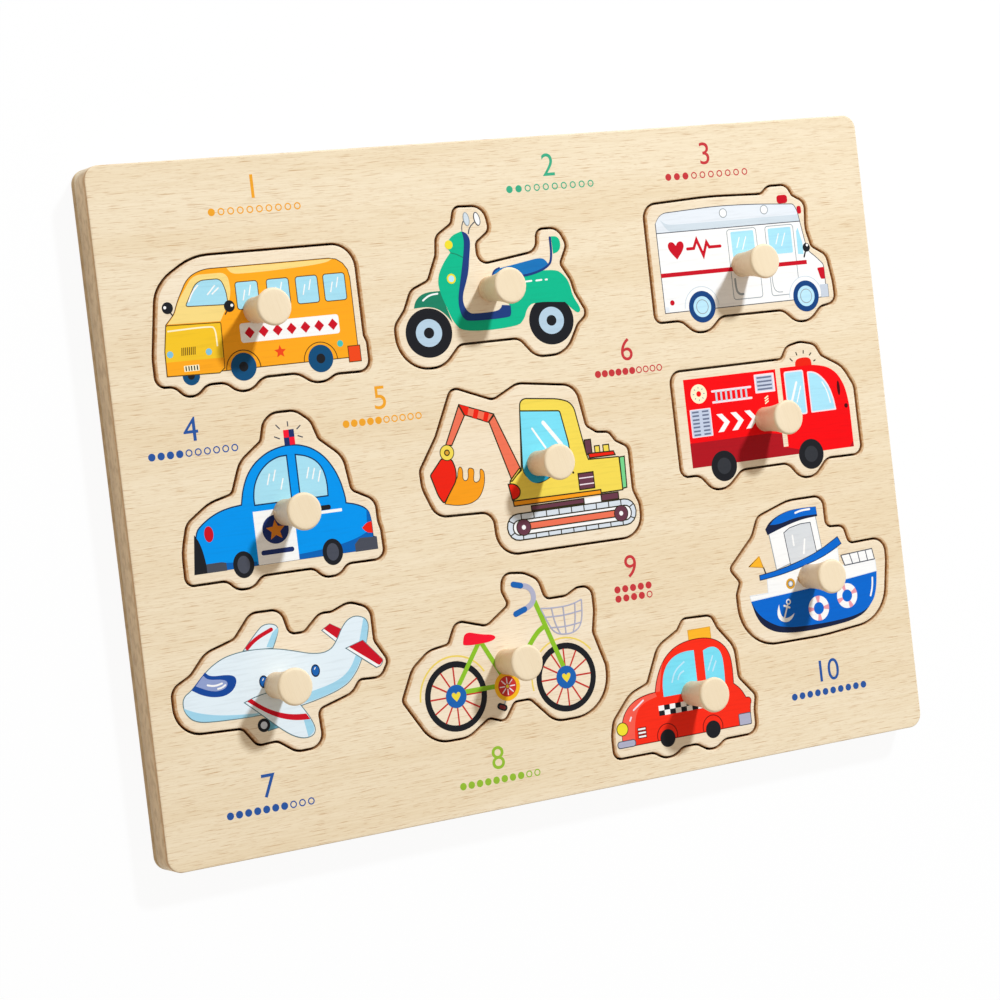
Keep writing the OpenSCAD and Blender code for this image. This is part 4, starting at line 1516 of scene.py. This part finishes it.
taxi.strokes("rose white", 0.6, ((9.2, 18.2), (14, 21.3)), ((7.4, 14.7), (8.3, 16.3)))
taxi.finish()

# %% [markdown]
# ## Numbers on the board
# Each opening has its number printed beside it, over ten marks of which as many are filled in.
# A numeral is a text object that is made a mesh, and then printed as any other flat shape.

# %% Numbers
NUMERAL_HEIGHT = 8
HEIGHT_SHARE_OF_TYPE = 0.72
NUMERAL_MERGE = 0.001
MARKS = 10
MARK_R = 1.25
MARK_RING_R = 1.2
MARK_HOLE_R = 0.8
ONE_ROW_FROM = 20
numbers = Picture("number_labels", "board", "tray_beech", Vector((0, 0, face_z)))


def numeral(number):
    """The flat shape of a number, set in Blender's own typeface and centred."""
    text = bpy.data.curves.new("numeral", "FONT")
    text.body = str(number)
    text.align_x = "CENTER"
    text.align_y = "CENTER"
    text.size = NUMERAL_HEIGHT / HEIGHT_SHARE_OF_TYPE
    holder = bpy.data.objects.new("numeral", text)
    scene.collection.objects.link(holder)
    mesh = bpy.data.meshes.new_from_object(holder)
    film = bmesh.new()
    film.from_mesh(mesh)
    bmesh.ops.remove_doubles(film, verts=film.verts[:], dist=NUMERAL_MERGE)
    bpy.data.objects.remove(holder)
    bpy.data.meshes.remove(mesh)
    bpy.data.curves.remove(text)
    return film


def number_label(number, ink, x, upper_y, lower_y, width):
    """A numeral, and under it ten marks in one row, or in two rows where there is little room."""
    film = numeral(number)
    bmesh.ops.translate(film, verts=film.verts[:], vec=(x, upper_y, 0))
    numbers.lay(film, ink)
    per_row = MARKS if width > ONE_ROW_FROM else MARKS // 2
    pitch = width / per_row
    for mark in range(MARKS):
        mark_x = x + (mark % per_row - (per_row - 1) / 2) * pitch
        mark_y = lower_y - (mark // per_row) * pitch
        if mark < number:
            numbers.disc(ink, mark_x, mark_y, MARK_R)
        else:
            numbers.ring(ink, mark_x, mark_y, MARK_RING_R, MARK_HOLE_R)


number_label(1, "label orange", -93, 102, 95, 34)
number_label(2, "label green", 18.5, 102, 95, 36)
number_label(3, "label red", 83, 102, 95, 36)
number_label(4, "label blue", -124.4, 26.3, 19.3, 32)
number_label(5, "label orange", -56, 29.5, 22.5, 30)
number_label(6, "label red", 41.4, 36.3, 29.2, 28)
number_label(7, "label blue", -112.5, -90.5, -97.6, 32)
number_label(8, "label lime", -27.7, -95.5, -102.5, 32)
number_label(9, "label red", 33, -38.5, -45.5, 16)
number_label(10, "label blue", 110.5, -86.5, -93.6, 34)
numbers.finish()

# %% [markdown]
# ## Floor and light
# The puzzle lies on a white floor. A small lamp up at the right throws the crisp shadows of the
# pegs, and an even sky fills them. The sky is warm and the lamp is cool by as much, so lit wood
# keeps its colour and the shadows are warm, as they are on wood. What the camera sees of the floor
# is mostly plain white light of strength 1, so the shadow under the board stays faint.

# %% Floor and light
FLOOR_SIZE = 6
FLOOR_GAP = 0.02 * MM
FLOOR_WHITE = (0.95, 0.95, 0.95, 1)
PLAIN_WHITE = (1, 1, 1, 1)
SHADOW_SHARE = 0.07
TOWARDS_LAMP = Vector((0.38, 0.62, 0.68)).normalized()
LAMP_DISTANCE = 2.5
LAMP_SIZE = 0.25
LAMP_SHARE = 0.67
LAMP_COLOUR = (0.84, 0.92, 1)
SKY_SHARE = 0.46
SKY_COLOUR = (1, 0.89, 0.77, 1)


def seen_white(tree):
    """1 for what the camera sees, straight or through a reflection or glass, and 0 otherwise."""
    path = add_node(tree, "ShaderNodeLightPath")
    glossy = arithmetic(tree, "MAXIMUM", path.outputs["Is Camera Ray"], path.outputs["Is Glossy Ray"])
    return arithmetic(tree, "MAXIMUM", glossy, path.outputs["Is Transmission Ray"])


floor_material = bpy.data.materials.new("white floor")
floor_material.use_nodes = True
tree = floor_material.node_tree
tree.nodes.remove(tree.nodes["Principled BSDF"])
lit = add_node(tree, "ShaderNodeBsdfDiffuse", {"Color": FLOOR_WHITE})
white = add_node(tree, "ShaderNodeEmission", {"Strength": 1})
share = arithmetic(tree, "MULTIPLY", seen_white(tree), 1 - SHADOW_SHARE)
mixed = add_node(tree, "ShaderNodeMixShader", {0: share, 1: lit.outputs[0], 2: white.outputs[0]})
tree.links.new(mixed.outputs[0], tree.nodes["Material Output"].inputs["Surface"])

floor_shape = bmesh.new()
bmesh.ops.create_grid(floor_shape, x_segments=1, y_segments=1, size=FLOOR_SIZE / 2)
bmesh.ops.translate(floor_shape, verts=floor_shape.verts[:], vec=(0, 0, cad_low.z - FLOOR_GAP))
floor_mesh = bpy.data.meshes.new("floor")
floor_shape.to_mesh(floor_mesh)
floor_shape.free()
floor_mesh.materials.append(floor_material)
floor = bpy.data.objects.new("floor", floor_mesh)
scene.collection.objects.link(floor)

lamp_data = bpy.data.lights.new("key", "AREA")
lamp_data.shape = "DISK"
lamp_data.size = LAMP_SIZE
lamp_data.color = LAMP_COLOUR
lamp_data.energy = LAMP_SHARE * math.pi**2 * LAMP_DISTANCE**2 / TOWARDS_LAMP.z
lamp = bpy.data.objects.new("key", lamp_data)
lamp.location = Vector((0, 0, face_z)) + TOWARDS_LAMP * LAMP_DISTANCE
lamp.rotation_euler = TOWARDS_LAMP.to_track_quat("Z", "Y").to_euler()
scene.collection.objects.link(lamp)

world = bpy.data.worlds.new("studio")
world.use_nodes = True
scene.world = world
tree = world.node_tree
seen = seen_white(tree)
background = tree.nodes["Background"]
tree.links.new(arithmetic(tree, "MAXIMUM", seen, SKY_SHARE), background.inputs["Strength"])
tree.links.new(mix_colours(tree, seen, SKY_COLOUR, PLAIN_WHITE), background.inputs["Color"])
print(f"lamp {lamp_data.energy:.1f} W at {LAMP_DISTANCE} m, sky {SKY_SHARE}")

# %% [markdown]
# ## Size and finish
# The dressed model is meant to keep the size of the frame, so the frame's box is written down.

# %% Size and finish
print("cad", [round(n / MM, 2) for n in cad_high - cad_low], "mm")
